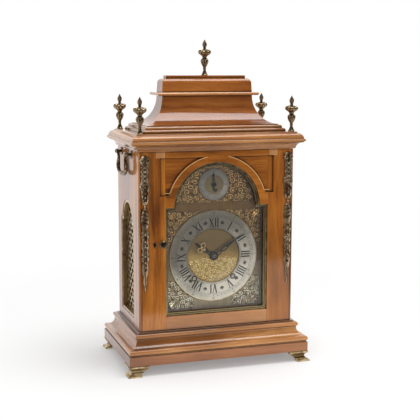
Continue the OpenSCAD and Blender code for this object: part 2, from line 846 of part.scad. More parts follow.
module rear_door_fittings() {
    leaf_x = rear_w - rear_gap - leaf_t;
    for (z = [rear_hinge_low, rear_hinge_high]) color(brass) difference() {
        union() {
            middle_knuckle(rear_hinge_x, rear_hinge_y, z);
            leaf_heights(z, false) translate([leaf_x, back_in + 2])
                square([leaf_t, back_t + knuckle_r - 2]);
            box([leaf_x, back_in + 2, z], [leaf_x + leaf_t, back_y - 0.4, z + hinge_l]);
        }
        pin_bore(rear_hinge_x, rear_hinge_y, z);
    }
    color(brass) translate([-rear_w + rear_stile / 2, back_y, knob_z]) rotate([-90, 0, 0])
        rotate_extrude() polygon([[0, -5], [1.9, -5], [1.9, 0], [3.6, 0], [3.6, 1], [2.2, 2.4],
                                  [2.2, 4], [4.8, 6], [4.8, 8], [3, 9.6], [0, 10]]);
}

// ---- Dial ----

// The dial lies far enough behind the glass for both hands
dial_gap = 12;
dial_front = glass_y + glass_t + dial_gap;
dial_back = dial_front + dial_t;
hands_rise = 115;
hands_z = case_z + hands_rise;
dial_low = opening_low + 4;
dial_arch = arch_r + 4;
ring_front = dial_front - ring_t;
pipe_r = 4.5;
cannon_r = 3.2;
wind_z = hands_z - wind_drop;
wind_r = 3.2;
hole_r = 4.6;
strike_z = arch_z + 35;

// Feet of the dial plate, from the edges of the movement's front plate
dial_foot_r = 3;
dial_foot_side = 12;
dial_foot_low = 16;
dial_foot_top = 18;

// Behind the dial: motion work, then the front plate of the movement
motion_gap = 11;
front_y = dial_back + motion_gap;
front_in = front_y + plate_t;
back_plate_in = front_in + plate_gap;
back_plate_y = back_plate_in + plate_t;

module wind_holes(y0, y1) {
    for (s = [-1, 1]) rod_y(s * wind_x, wind_z, hole_r, y0, y1);
}

module dial_plate() {
    color(brass) difference() {
        slab_y(dial_front, dial_back) {
            translate([-dial_w / 2, dial_low]) square([dial_w, shoulder_z - dial_low]);
            translate([0, arch_z]) circle(r = dial_arch, $fn = 96);
        }
        rod_y(0, hands_z, pipe_r + 1.5, dial_front - past, dial_back + past);
        rod_y(0, strike_z, 1.5 + running, dial_front - past, dial_back + past);
        wind_holes(dial_front - past, dial_back + past);
    }
    color(brass) for (sx = [-1, 1]) for (z = [plate_low + dial_foot_low, plate_high - dial_foot_top])
        rod_y(sx * (plate_w / 2 - dial_foot_side), z, dial_foot_r, dial_back, front_y);
}

module chapter_ring() {
    color(silvered) difference() {
        rod_y(0, hands_z, ring_r, ring_front, dial_front);
        rod_y(0, hands_z, ring_in, ring_front - past, dial_front + past);
        wind_holes(ring_front - past, dial_front + past);
    }
}

// Corner and arch spandrels: scrolled outlines between the ring and the edge of the dial
spandrel_t = 1.6;
module corner_spandrel() {
    corner_x = dial_w / 2 - 5;
    low = dial_low + 3;
    high = shoulder_z - 10;
    for (top = [false, true]) {
        z0 = top ? high : low;
        s = top ? -1 : 1;
        slab_y(dial_front - spandrel_t, dial_front) difference() {
            union() {
                polygon([[corner_x, z0], [corner_x - 46, z0], [corner_x - 30, z0 + s * 17],
                         [corner_x - 17, z0 + s * 30], [corner_x, z0 + s * 46]]);
                translate([corner_x - 44, z0 + s * 6]) circle(r = 6, $fn = 24);
                translate([corner_x - 6, z0 + s * 44]) circle(r = 6, $fn = 24);
            }
            translate([0, hands_z]) circle(r = ring_r + 1.5, $fn = 96);
            for (hole = [[10, 10, 3.4], [22, 8, 2.6], [8, 22, 2.6], [33, 6, 2], [6, 33, 2]])
                translate([corner_x - hole[0], z0 + s * hole[1]]) circle(r = hole[2], $fn = 20);
        }
    }
}

module arch_spandrel() {
    slab_y(dial_front - spandrel_t, dial_front) difference() {
        intersection() {
            translate([0, arch_z]) circle(r = arch_r - bezel_w - 3, $fn = 96);
            translate([0, arch_z + 9]) square([arch_r, arch_r]);
        }
        translate([0, strike_z]) circle(r = strike_r + 1.5, $fn = 64);
        for (hole = [[38, 22, 3.4], [48, 15, 2.6], [36, 36, 3], [50, 27, 2.4], [28, 52, 2.4]])
            translate([hole[0], arch_z + hole[1]]) circle(r = hole[2], $fn = 20);
        translate([-past, arch_z]) square([16, arch_r]);
    }
}

module spandrels() {
    color(brass) corner_spandrel();
    color(brass) mirror([1, 0, 0]) corner_spandrel();
    color(brass) arch_spandrel();
    color(brass) mirror([1, 0, 0]) arch_spandrel();
}

module strike_dial() {
    color(silvered) difference() {
        rod_y(0, strike_z, strike_r, dial_front - 2, dial_front);
        rod_y(0, strike_z, 0.6 * strike_r, dial_front - 2 - past, dial_front - 1.2);
        rod_y(0, strike_z, 1.5 + running, dial_front - 2 - past, dial_front + past);
    }
}

// Strike and silent hand: pointer, boss and curled tail on a short arbor
strike_y = dial_front - 2 - near_gap;
module strike_hand() {
    color(blued) {
        rod_y(0, strike_z, 1.5, strike_y - 1.4, dial_back + 2.4);
        rod_y(0, strike_z, 4.5, dial_back + near_gap, dial_back + 2.4);
        slab_y(strike_y - 1, strike_y) translate([0, strike_z]) {
            circle(r = 3.2, $fn = 32);
            polygon([[-1.6, 0], [-1.1, 0.55 * strike_r], [0, 0.82 * strike_r],
                     [1.1, 0.55 * strike_r], [1.6, 0]]);
            polygon([[-1.3, 0], [-0.4, -0.3 * strike_r], [2.2, -0.46 * strike_r],
                     [3.6, -0.36 * strike_r], [1.6, -0.25 * strike_r], [1.3, 0]]);
        }
    }
}

// Hands at nine minutes past ten; angles run clockwise from twelve
minute_angle = 54;
hour_angle = 304.5;
hour_y = ring_front - 1.6;
minute_y = hour_y - 2.6;

module hand_blade(length, head_at, head_r, root) {
    polygon([[-0.9, root - 1], [-1.1, head_at], [-0.5, length - 5], [0, length], [0.5, length - 5],
             [1.1, head_at], [0.9, root - 1]]);
    circle(r = root, $fn = 32);
    for (s = [-1, 1]) translate([s * 0.6 * head_r, head_at]) difference() {
        circle(r = 0.72 * head_r, $fn = 24);
        circle(r = 0.38 * head_r, $fn = 16);
    }
}

module hour_hand() {
    color(blued) difference() {
        union() {
            slab_y(hour_y - 1, hour_y) translate([0, hands_z]) rotate([0, 0, -hour_angle])
                hand_blade(hour_l, 0.55 * hour_l, 7, pipe_r + 2);
            rod_y(0, hands_z, pipe_r + 1.4, hour_y - 1.5, hour_y);
        }
        rod_y(0, hands_z, pipe_r + running, hour_y - 1.5 - past, hour_y + past);
    }
}

module minute_hand() {
    color(blued) difference() {
        union() {
            slab_y(minute_y - 1, minute_y) translate([0, hands_z]) rotate([0, 0, -minute_angle])
                hand_blade(minute_l, 0.3 * minute_l, 4, 4.4);
            rod_y(0, hands_z, 3.4, minute_y - 2, minute_y);
        }
        rod_y(0, hands_z, 2.5 + running, minute_y - 2 - past, minute_y + past);
    }
}

// ---- Wheels ----

// Height and half-width of a tooth, as shares of its module and of the pitch
tooth_tip = 0.85;
tooth_root = 1.15;
tip_share = 0.09;
root_share = 0.23;

function tooth_points(n, m, phase) =
    [for (i = [0 : n - 1]) for (k = [-1, 1]) for (j = k < 0 ? [0, 1] : [1, 0])
        let (r = n * m / 2 + (j > 0 ? tooth_tip : -tooth_root) * m,
             a = phase + 360 * (i + k * (j > 0 ? tip_share : root_share)) / n)
        [r * cos(a), r * sin(a)]];

// Phase that puts a gap of the second wheel on a tooth of the first
function mesh_phase(from, phase, n1, to, n2) =
    let (a = atan2(to[1] - from[1], to[0] - from[0]))
    a + 180 + ((a - phase) * n1 / 360 + 0.5) * 360 / n2;

// Point at distance d1 from the first centre and d2 from the second, to the given side
function meet(c1, d1, c2, d2, side) =
    let (v = c2 - c1, l = norm(v), a = (d1 * d1 - d2 * d2 + l * l) / (2 * l),
         h = sqrt(max(0, d1 * d1 - a * a)))
    c1 + v * a / l + [v[1], -v[0]] * side * h / l;

// Crossed-out wheel: toothed rim, four spokes and a hub
module wheel(at, n, m, phase, y0, thick, hub) {
    rim = n * m / 2 - tooth_root * m - 2.2;
    slab_y(y0, y0 + thick) translate(at) difference() {
        polygon(tooth_points(n, m, phase));
        difference() {
            circle(r = rim);
            circle(r = hub);
            for (a = [phase, phase + 90]) rotate([0, 0, a])
                square([2 * rim + past, 2.4], center = true);
        }
    }
}

// Solid pinion
module pinion(at, n, m, phase, y0, thick) {
    slab_y(y0, y0 + thick) translate(at) polygon(tooth_points(n, m, phase));
}

// Arbor between the plates with a pivot in each
end_shake = 0.15;
pivot = 0.9;
module arbor(at, r) {
    rod_y(at[0], at[1], r, front_in + end_shake, back_plate_in - end_shake);
    rod_y(at[0], at[1], pivot, front_y + end_shake, back_plate_y - end_shake);
}

module pivot_hole(at, r = pivot) {
    rod_y(at[0], at[1], r + running, front_y - past, back_plate_y + past);
}

// Teeth and modules of the going train
great_n = 72;
great_m = 0.8;
second_n = 10;
inter_n = 70;
inter_m = 0.7;
centre_leaves = 10;
centre_n = 96;
centre_m = 0.5;
third_leaves = 8;
third_n = 88;
third_m = 0.5;
escape_leaves = 8;
escape_n = 35;
escape_r = 14;

// Centres, in X and Z
centre_at = [0, hands_z];
going_at = [wind_x, wind_z];
striking_at = [-wind_x, wind_z];
escape_at = [0, hands_z + 44];
pallets_at = [0, escape_at[1] + 19];
great_reach = (great_n + second_n) * great_m / 2;
inter_at = meet(going_at, great_reach, centre_at, (inter_n + centre_leaves) * inter_m / 2, 1);
third_at = meet(centre_at, (centre_n + third_leaves) * centre_m / 2,
                escape_at, (third_n + escape_leaves) * third_m / 2, 1);

// Phases of the teeth, from the barrel onwards
second_phase = mesh_phase(going_at, 0, great_n, inter_at, second_n);
leaf_phase = mesh_phase(inter_at, second_phase, inter_n, centre_at, centre_leaves);
third_phase = mesh_phase(centre_at, leaf_phase, centre_n, third_at, third_leaves);
escape_phase = mesh_phase(third_at, third_phase, third_n, escape_at, escape_leaves);

// Strike train
strike_m = 0.6;
pin_n = 64;
warn_leaves = 8;
warn_n = 60;
warn_m = 0.5;
fly_leaves = 8;
pin_at = striking_at + great_reach * [-0.18, sqrt(1 - 0.18 * 0.18)];
warn_at = pin_at + (pin_n + warn_leaves) * strike_m / 2 * [0.25, sqrt(1 - 0.25 * 0.25)];
fly_at = warn_at + (warn_n + fly_leaves) * warn_m / 2 * [0.35, sqrt(1 - 0.35 * 0.35)];
pin_phase = mesh_phase(striking_at, 0, great_n, pin_at, second_n);
warn_phase = mesh_phase(pin_at, pin_phase, pin_n, warn_at, warn_leaves);
fly_phase = mesh_phase(warn_at, warn_phase, warn_n, fly_at, fly_leaves);
hammer_at = [-50, escape_at[1] + 9.3];

// Places of the wheels between the plates
great_y = front_in + 3.5;
inter_y = back_plate_in - 8;
centre_y = front_in + 13;
third_y = front_in + 25;
escape_y = back_plate_in - 10;
warn_y = front_in + 19;

// Motion work: twelve to one from the cannon pinion to the hour wheel
cannon_n = 12;
minute_n = 36;
minute_leaves = 10;
hour_n = 40;
motion_m = 0.65;
motion_reach = (cannon_n + minute_n) * motion_m / 2;
hour_m = 2 * motion_reach / (minute_leaves + hour_n);
minute_at = centre_at - [0, motion_reach];
cannon_y = front_y - 3.6;
hour_wheel_y = front_y - 7;
minute_phase = mesh_phase(centre_at, 0, cannon_n, minute_at, minute_n);
hour_phase = mesh_phase(minute_at, minute_phase, minute_leaves, centre_at, hour_n);

// ---- Movement ----

plate_low = hands_z - 70.7;
plate_high = plate_low + plate_h;
arbor_r = 4;

module plate(y0) {
    difference() {
        box([-plate_w / 2, y0, plate_low], [plate_w / 2, y0 + plate_t, plate_high]);
        for (at = [inter_at, third_at, escape_at, pin_at, warn_at, fly_at, hammer_at])
            pivot_hole(at);
        pivot_hole(centre_at, 2);
        pivot_hole(pallets_at, 1.5);
        for (at = [going_at, striking_at]) pivot_hole(at, wind_r);
    }
}

// Front plate with the stud of the minute wheel and the clicks of the two ratchets
ratchet_r = 11;
module front_plate() {
    color(brass) plate(front_y);
    color(steel) rod_y(minute_at[0], minute_at[1], 1.4, front_y - 7.4, front_y);
    color(steel) for (s = [-1, 1]) slab_y(front_y - 1.8, front_y)
        translate([s * (wind_x + ratchet_r + 4.5), wind_z + 4]) {
            circle(r = 3, $fn = 24);
            polygon([[-2.4, 1.5], [-3.6, -5], [-2.2, -6.5], [2.6, -0.5]]);
        }
}

module back_plate() {
    color(brass) plate(back_plate_in);
}

// Turned pillars and the square feet that stand the movement on its seat board
pillar_in = 6;
module pillars() {
    for (sx = [-1, 1]) for (z = [plate_low + pillar_in, plate_high - pillar_in - 2])
        color(brass) translate([sx * (plate_w / 2 - pillar_in), front_in, z]) rotate([-90, 0, 0])
            rotate_extrude() polygon([[0, 0], [4.2, 0], [4.2, 3], [2.8, 5], [2.6, 0.4 * plate_gap],
                [3.8, 0.46 * plate_gap], [3.8, 0.54 * plate_gap], [2.6, 0.6 * plate_gap],
                [2.8, plate_gap - 5], [4.2, plate_gap - 3], [4.2, plate_gap], [0, plate_gap]]);
}

seat_t = 10;
module seat_board() {
    color(wood_dark) box([-in_w, front_y - 6, plate_low - seat_t],
                         [in_w, back_plate_y + 1, plate_low]);
}

// Spring barrel with its great wheel, and the room that its arbor's ratchet takes
ratchet_room = 14;
drum_l = plate_gap - ratchet_room;
module barrel(at) {
    color(brass) difference() {
        union() {
            slab_y(great_y, great_y + 2.5) translate(at) polygon(tooth_points(great_n, great_m, 0));
            rod_y(at[0], at[1], drum_r, great_y + 1, great_y + drum_l);
        }
        rod_y(at[0], at[1], arbor_r + running, great_y - past, great_y + drum_l + past);
    }
}

module going_barrel() {
    barrel(going_at);
}

module strike_barrel() {
    barrel(striking_at);
}

// Winding arbor: body in the barrel, pivots in the plates, ratchet and square end
ratchet_n = 24;
module winding_arbor(at) {
    color(steel) {
        rod_y(at[0], at[1], arbor_r, front_in + end_shake, back_plate_in - end_shake);
        rod_y(at[0], at[1], wind_r, front_y - 2, back_plate_y - end_shake);
        slab_y(front_y - 2, front_y - end_shake) translate(at)
            polygon([for (i = [0 : ratchet_n - 1]) for (k = [0, 1])
                (ratchet_r - 1.4 * k) * [cos(360 * (i + 0.1 * k) / ratchet_n),
                                         sin(360 * (i + 0.1 * k) / ratchet_n)]]);
        translate([at[0], (ring_front + front_y) / 2 - 1, at[1]])
            cube([4.4, front_y - ring_front - 1, 4.4], center = true);
    }
}

module going_arbor() {
    winding_arbor(going_at);
}

module strike_arbor() {
    winding_arbor(striking_at);
}

module intermediate_wheel() {
    color(brass) wheel(inter_at, inter_n, inter_m, second_phase, inter_y, wheel_t, 5);
    color(steel) pinion(inter_at, second_n, great_m, second_phase, great_y - 1.5, 6);
    color(steel) arbor(inter_at, 2);
}

// Centre arbor with its wheel, pinion and the cannon pinion that carries the minute hand
module centre_wheel() {
    color(brass) wheel(centre_at, centre_n, centre_m, leaf_phase, centre_y, wheel_t, 5);
    color(steel) pinion(centre_at, centre_leaves, inter_m, leaf_phase, inter_y - 1.5, 5);
    color(steel) rod_y(0, hands_z, 2.4, front_in + end_shake, back_plate_in - end_shake);
    color(steel) rod_y(0, hands_z, 2, front_y - 1, back_plate_y - end_shake);
    color(steel) rod_y(0, hands_z, cannon_r, minute_y + near_gap, front_y - near_gap);
    color(steel) rod_y(0, hands_z, 2.5, minute_y - 1.8, front_y - 1);
    color(steel) pinion(centre_at, cannon_n, motion_m, 0, cannon_y, 2.4);
}

module minute_wheel() {
    color(brass) difference() {
        union() {
            slab_y(cannon_y, cannon_y + 1.6) translate(minute_at)
                polygon(tooth_points(minute_n, motion_m, minute_phase));
            pinion(minute_at, minute_leaves, hour_m, minute_phase, hour_wheel_y, 3.8);
        }
        rod_y(minute_at[0], minute_at[1], 1.4 + running, front_y - 8, front_y);
    }
}

module hour_wheel() {
    color(brass) difference() {
        union() {
            slab_y(hour_wheel_y, hour_wheel_y + 1.6) translate(centre_at)
                polygon(tooth_points(hour_n, hour_m, hour_phase));
            rod_y(0, hands_z, pipe_r, hour_y - 1.2, hour_wheel_y + 1.6);
        }
        rod_y(0, hands_z, cannon_r + running, hour_y - 1.2 - past, hour_wheel_y + 1.6 + past);
    }
}

module third_wheel() {
    color(brass) wheel(third_at, third_n, third_m, third_phase, third_y, wheel_t - 0.4, 4);
    color(steel) pinion(third_at, third_leaves, centre_m, third_phase, centre_y - 1.5, 5);
    color(steel) arbor(third_at, 1.4);
}

// Escape wheel with raked, pointed teeth
module escape_wheel() {
    color(brass) slab_y(escape_y, escape_y + 1.2) translate(escape_at) difference() {
        polygon([for (i = [0 : escape_n - 1]) for (k = [0, 1])
            (escape_r - (k > 0 ? 2.2 : 0)) * [cos(360 * (i + 0.3 * k) / escape_n),
                                              sin(360 * (i + 0.3 * k) / escape_n)]]);
        difference() {
            circle(r = escape_r - 3.8);
            circle(r = 3);
            for (a = [0, 90]) rotate([0, 0, a]) square([2 * escape_r, 1.8], center = true);
        }
    }
    color(steel) pinion(escape_at, escape_leaves, third_m, escape_phase, third_y - 1.5, 5);
    color(steel) arbor(escape_at, 1.2);
}

// Anchor, its arbor and the crutch that drives the pendulum behind the back plate
crutch_l = 52;
rod_place = back_plate_y + 11;
module pallets() {
    color(steel) slab_y(escape_y - 0.6, escape_y + 1.8) translate(pallets_at) difference() {
        polygon([[-2.6, 2.6], [-8, 0], [-12.6, -6.5], [-11.6, -10.5], [-9.4, -9.6], [0, -6],
                 [9.4, -9.6], [11.6, -10.5], [12.6, -6.5], [8, 0], [2.6, 2.6]]);
        translate(escape_at - pallets_at) circle(r = escape_r + 1.2, $fn = 96);
    }
    color(steel) rod_y(0, pallets_at[1], 1.5, front_y + end_shake, back_plate_y + 4);
    color(steel) box([-1.5, back_plate_y + 2, pallets_at[1] - crutch_l],
                     [1.5, back_plate_y + 4, pallets_at[1] + 2.4]);
    color(steel) for (s = [-1, 1])
        box([s > 0 ? 1.5 : -3, back_plate_y + 2, pallets_at[1] - crutch_l - 3],
            [s > 0 ? 3 : -1.5, rod_place + 2, pallets_at[1] - crutch_l + 1.5]);
}

// Pendulum: strip with its eye, rod, lens-shaped bob and rating nut
hang_r = 1.2;
strip_l = 16;
bob_t = 9;
module pendulum() {
    bob_z = pallets_at[1] - pendulum_l;
    color(steel) difference() {
        union() {
            box([-2.4, rod_place - 0.6, pallets_at[1] - strip_l],
                [2.4, rod_place + 0.6, pallets_at[1]]);
            rod_y(0, pallets_at[1], 2.8, rod_place - 0.6, rod_place + 0.6);
        }
        rod_y(0, pallets_at[1], hang_r + running, rod_place - 2, rod_place + 2);
    }
    color(steel) translate([0, rod_place, bob_z - bob_r - 7])
        cylinder(r = 1.2, h = pendulum_l + bob_r + 7 - strip_l + 2);
    color(brass) difference() {
        translate([0, rod_place, bob_z]) rotate([90, 0, 0]) rotate([0, 0, 45]) rotate_extrude()
            polygon([[0, -bob_t / 2], [bob_r - 1, -2.4], [bob_r, -1.8], [bob_r, 1.8],
                     [bob_r - 1, 2.4], [0, bob_t / 2]]);
        translate([0, rod_place, bob_z - bob_r - past])
            cylinder(r = 1.2 + running, h = 2 * bob_r + 2 * past);
    }
    color(brass) translate([0, rod_place, bob_z - bob_r - 5]) cylinder(r = 4, h = 3.5);
}

// Pendulum cock on the back plate and the stand that carries the bell above the plates
cock_z = pallets_at[1] + 5;
stand_y = (front_in + back_plate_in) / 2;
bell_z = plate_high + 9;
module back_cocks() {
    color(brass) {
        box([-9, back_plate_y, cock_z], [9, back_plate_y + 3, cock_z + 10]);
        box([-4, back_plate_y + 2, cock_z], [4, rod_place + 5, cock_z + 4]);
        box([-4, rod_place + 2, pallets_at[1] - 3], [4, rod_place + 5, cock_z + 1]);
        rod_y(0, pallets_at[1], hang_r, rod_place - 1.4, rod_place + 3);
        rod_y(0, pallets_at[1], 2.2, rod_place - 2.6, rod_place - 1.2);
    }
    color(steel) {
        box([-5, front_y, plate_high], [5, back_plate_y, plate_high + 3]);
        translate([0, stand_y, plate_high + 2]) cylinder(r = 3.4, h = bell_z + bell_h - plate_high - 4.4);
        translate([0, stand_y, plate_high + 2]) cylinder(r = 2.2, h = bell_z + bell_h - plate_high + 3);
        translate([0, stand_y, bell_z + bell_h]) cylinder(r = 4, h = 3, $fn = 24);
    }
}

// Cast bell, mouth down
bell_t = 2.4;
module bell() {
    outer = concat([[bell_r, 0]], arc_points(0, 0, 0.82 * bell_r, bell_h, 15, 75, 8));
    inner = [for (i = [len(outer) - 1 : -1 : 0]) [outer[i][0] - bell_t, max(0, outer[i][1] - bell_t)]];
    color(brass) translate([0, stand_y, bell_z]) rotate_extrude()
        polygon(concat(outer, [[5, bell_h], [2.3, bell_h], [2.3, bell_h - bell_t], [5, bell_h - bell_t]],
                       inner));
}

// Wheel with the eight pins that lift the hammer
pin_circle = pin_n * strike_m / 2 - 1.8;
module pin_wheel() {
    color(brass) wheel(pin_at, pin_n, strike_m, pin_phase, inter_y, wheel_t, 4.5);
    color(steel) for (i = [0 : 7]) rod_y(pin_at[0] + pin_circle * cos(45 * i + pin_phase),
        pin_at[1] + pin_circle * sin(45 * i + pin_phase), 0.8, inter_y + 0.5, inter_y + wheel_t + 3);
    color(steel) pinion(pin_at, second_n, great_m, pin_phase, great_y - 1.5, 6);
    color(steel) arbor(pin_at, 2);
}

module warning_wheel() {
    color(brass) wheel(warn_at, warn_n, warn_m, warn_phase, warn_y, wheel_t - 0.4, 3.5);
    color(steel) pinion(warn_at, warn_leaves, strike_m, warn_phase, inter_y - 1.5, 5);
    color(steel) arbor(warn_at, 1.2);
}

fly_r = 11;
module fly() {
    color(brass) box([fly_at[0] - fly_r, front_in + 24, fly_at[1] - 0.5],
                     [fly_at[0] + fly_r, front_in + 35, fly_at[1] + 0.5]);
    color(brass) rod_y(fly_at[0], fly_at[1], 2, front_in + 24, front_in + 35);
    color(steel) pinion(fly_at, fly_leaves, warn_m, fly_phase, warn_y - 1.5, 5);
    color(steel) arbor(fly_at, 1.2);
}

// Hammer: arbor, tail near the lifting pins, arm and round head beside the bell
head_z = bell_z + 4.5;
head_x = -bell_r - 0.8;
tail_l = 33;
module hammer() {
    arm_y = stand_y;
    color(steel) {
        arbor(hammer_at, 1.4);
        rod_y(hammer_at[0], hammer_at[1], 3, arm_y - 3, arm_y + 3);
        rod_y(hammer_at[0], hammer_at[1], 3, inter_y + 2.6, inter_y + 6.4);
        slab_y(inter_y + 3.2, inter_y + 5.6)
            polygon([hammer_at + [-1.6, 0], hammer_at + [0.8, -tail_l], hammer_at + [3, -tail_l],
                     hammer_at + [1.6, 0]]);
        slab_y(arm_y - 1.2, arm_y + 1.2)
            polygon([hammer_at + [-1.8, 0], [head_x - 7.4, head_z], [head_x - 4.6, head_z],
                     hammer_at + [1.8, 0]]);
        rod_x(arm_y, head_z, 4.2, head_x - 10, head_x);
    }
}

feet();
plinth_band();
base_moulding();
side_left();
side_right();
back_frame();
cornice();
upper_moulding();
bell_cove();
shelf_moulding();
bell_block();
corner_finials();
centre_finial();
side_frets();
handle_posts();
handle_left();
handle_right();
case_fittings();
door_left_stile();
door_right_stile();
door_head();
door_bottom_rail();
door_bezel();
door_glass();
door_hinges();
corner_mounts();
door_escutcheon();
door_knob();
rear_door_frame();
rear_door_glass();
rear_door_fittings();
dial_plate();
chapter_ring();
spandrels();
strike_dial();
strike_hand();
hour_hand();
hour_wheel();
minute_hand();
minute_wheel();
front_plate();
back_plate();
pillars();
seat_board();
going_barrel();
going_arbor();
strike_barrel();
strike_arbor();
intermediate_wheel();
centre_wheel();
third_wheel();
escape_wheel();
pallets();
pendulum();
back_cocks();
pin_wheel();
warning_wheel();
fly();
hammer();
bell();
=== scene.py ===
"""Looks of a bell-top bracket clock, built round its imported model.

The wooden case, glass, frets, handles and movement are the model's own solids, with softened
edges and finishes. Finials, spandrels, mounts, hands, numerals and inlay are modelled here.
Drawn sizes are in millimetres; the frame is in metres, +Z up, with the front towards -Y."""

from math import atan2, cos, degrees, hypot, pi, radians, sin

import bmesh
import bpy
from mathutils import Matrix, Vector

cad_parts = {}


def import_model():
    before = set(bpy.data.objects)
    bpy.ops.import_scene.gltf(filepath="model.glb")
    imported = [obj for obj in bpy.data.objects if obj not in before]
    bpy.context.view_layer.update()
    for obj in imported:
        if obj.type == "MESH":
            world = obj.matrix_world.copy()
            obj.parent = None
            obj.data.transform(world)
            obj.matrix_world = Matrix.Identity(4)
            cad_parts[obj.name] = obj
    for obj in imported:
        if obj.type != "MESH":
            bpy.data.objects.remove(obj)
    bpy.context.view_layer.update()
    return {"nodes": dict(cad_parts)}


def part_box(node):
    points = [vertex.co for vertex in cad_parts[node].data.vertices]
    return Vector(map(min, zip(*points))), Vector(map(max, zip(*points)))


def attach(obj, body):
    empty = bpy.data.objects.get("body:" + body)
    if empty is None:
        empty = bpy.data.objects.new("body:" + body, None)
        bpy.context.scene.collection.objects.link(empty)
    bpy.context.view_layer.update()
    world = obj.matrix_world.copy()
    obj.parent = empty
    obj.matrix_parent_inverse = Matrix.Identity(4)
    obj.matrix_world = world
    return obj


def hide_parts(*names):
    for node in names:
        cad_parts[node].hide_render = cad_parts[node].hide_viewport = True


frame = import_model()

MM = 0.001
TURN = 2 * pi


def place(node):
    """Lowest and highest corner of a node, in millimetres."""
    low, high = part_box(node)
    return low / MM, high / MM


# ---- Places taken from the frame ----

rail_low, rail_high = place("door_bottom_rail")
head_low = place("door_head")[0]
plate_low = place("dial_plate")[0]
ring_low, ring_high = place("chapter_ring")
strike_low, strike_high = place("strike_dial")
glass_high = place("door_glass")[1]

DOOR_Y = rail_low.y
OPENING_X = rail_high.x
OPENING_LOW = rail_high.z
SHOULDER_Z = head_low.z
DIAL_Y = plate_low.y
RING_Y = ring_low.y
RING_R = ring_high.x
HANDS_Z = (ring_low.z + ring_high.z) / 2
STRIKE_Y = strike_low.y
STRIKE_R = strike_high.x
STRIKE_Z = (strike_low.z + strike_high.z) / 2
DIAL_CENTRE = (0, HANDS_Z)
STRIKE_CENTRE = (0, STRIKE_Z)

# Sizes that the frame doesn't give by itself
ARCH_R = 74
ARCH_Z = glass_high.z + 0.3 - ARCH_R
ARCH_BAND = 12
RING_IN = 46
BEZEL_W = 4.7
SIGHT_X = OPENING_X - BEZEL_W
SIGHT_LOW = OPENING_LOW + BEZEL_W
WIND_X = 34
WIND_DROP = 36.7
WIND_IN = 3.7
HOUR_ANGLE = 304.5
MINUTE_ANGLE = 54


# ---- Forms ----

# Angles between faces, in degrees: up to the first two, drawn forms and the model's solids shade
# smooth; above the third, an edge of a solid is rounded
SHARP_ANGLE, SOLID_ANGLE, BEVEL_ANGLE = 38, 34, 40


def polar(centre, radius, angle):
    """Point at a distance from a centre, with its angle in radians from +X."""
    return centre[0] + radius * cos(angle), centre[1] + radius * sin(angle)


def add_object(name, data):
    """Object in the scene, made from a mesh, a text, a lamp or a camera."""
    piece = bpy.data.objects.new(name, data)
    bpy.context.scene.collection.objects.link(piece)
    return piece


class Shape:
    """Points and faces in millimetres, gathered from simple forms."""

    def __init__(self):
        self.points = []
        self.faces = []

    def rows(self, rows, caps=True):
        """Faces between closed rows of points; caps closes both ends."""
        first, wide = len(self.points), len(rows[0])
        for row in rows:
            self.points.extend(row)
        for r in range(len(rows) - 1):
            low = first + r * wide
            for c in range(wide):
                d = (c + 1) % wide
                self.faces.append((low + c, low + d, low + wide + d, low + wide + c))
        if caps:
            last = first + (len(rows) - 1) * wide
            self.faces.append(tuple(range(first, first + wide))[::-1])
            self.faces.append(tuple(range(last, last + wide)))

    def lathe(self, profile, centre, sides, lobes, depth):
        """Turned form on a vertical axis from [radius, height, lobing] points, with gadroons."""
        rows = []
        for radius, height, lobing in profile:
            row = []
            for k in range(sides):
                angle = TURN * k / sides
                r = radius * (1 + depth * lobing * cos(lobes * angle))
                row.append((*polar(centre, r, angle), centre[2] + height))
            rows.append(row)
        self.rows(rows)

    def tube(self, path, radius, sides):
        """Round bar along a path; radius is a function of the share of the path."""
        path = [Vector(p) for p in path]
        side = (path[1] - path[0]).orthogonal().normalized()
        rows = []
        for i, point in enumerate(path):
            ahead = (path[min(i + 1, len(path) - 1)] - path[max(i - 1, 0)]).normalized()
            side = (side - ahead * side.dot(ahead)).normalized()
            up = ahead.cross(side)
            r = radius(i / (len(path) - 1))
            rows.append([tuple(point + side * r * cos(TURN * k / sides)
                               + up * r * sin(TURN * k / sides)) for k in range(sides)])
        self.rows(rows)

    def build(self, name, body, material, slot, replaces=()):
        """Makes the piece, lets it ride on its body and gives it its finish."""
        mesh = bpy.data.meshes.new(name)
        mesh.from_pydata([Vector(p) * MM for p in self.points], [], self.faces)
        shell = bmesh.new()
        shell.from_mesh(mesh)
        bmesh.ops.recalc_face_normals(shell, faces=shell.faces)
        limit = radians(SHARP_ANGLE)
        for edge in shell.edges:
            edge.smooth = len(edge.link_faces) == 2 and edge.calc_face_angle(0) < limit
        for face in shell.faces:
            face.smooth = True
        shell.to_mesh(mesh)
        shell.free()
        piece = add_object(name, mesh)
        mesh.materials.append(material)
        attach(piece, body)
        if replaces:
            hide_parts(*replaces)


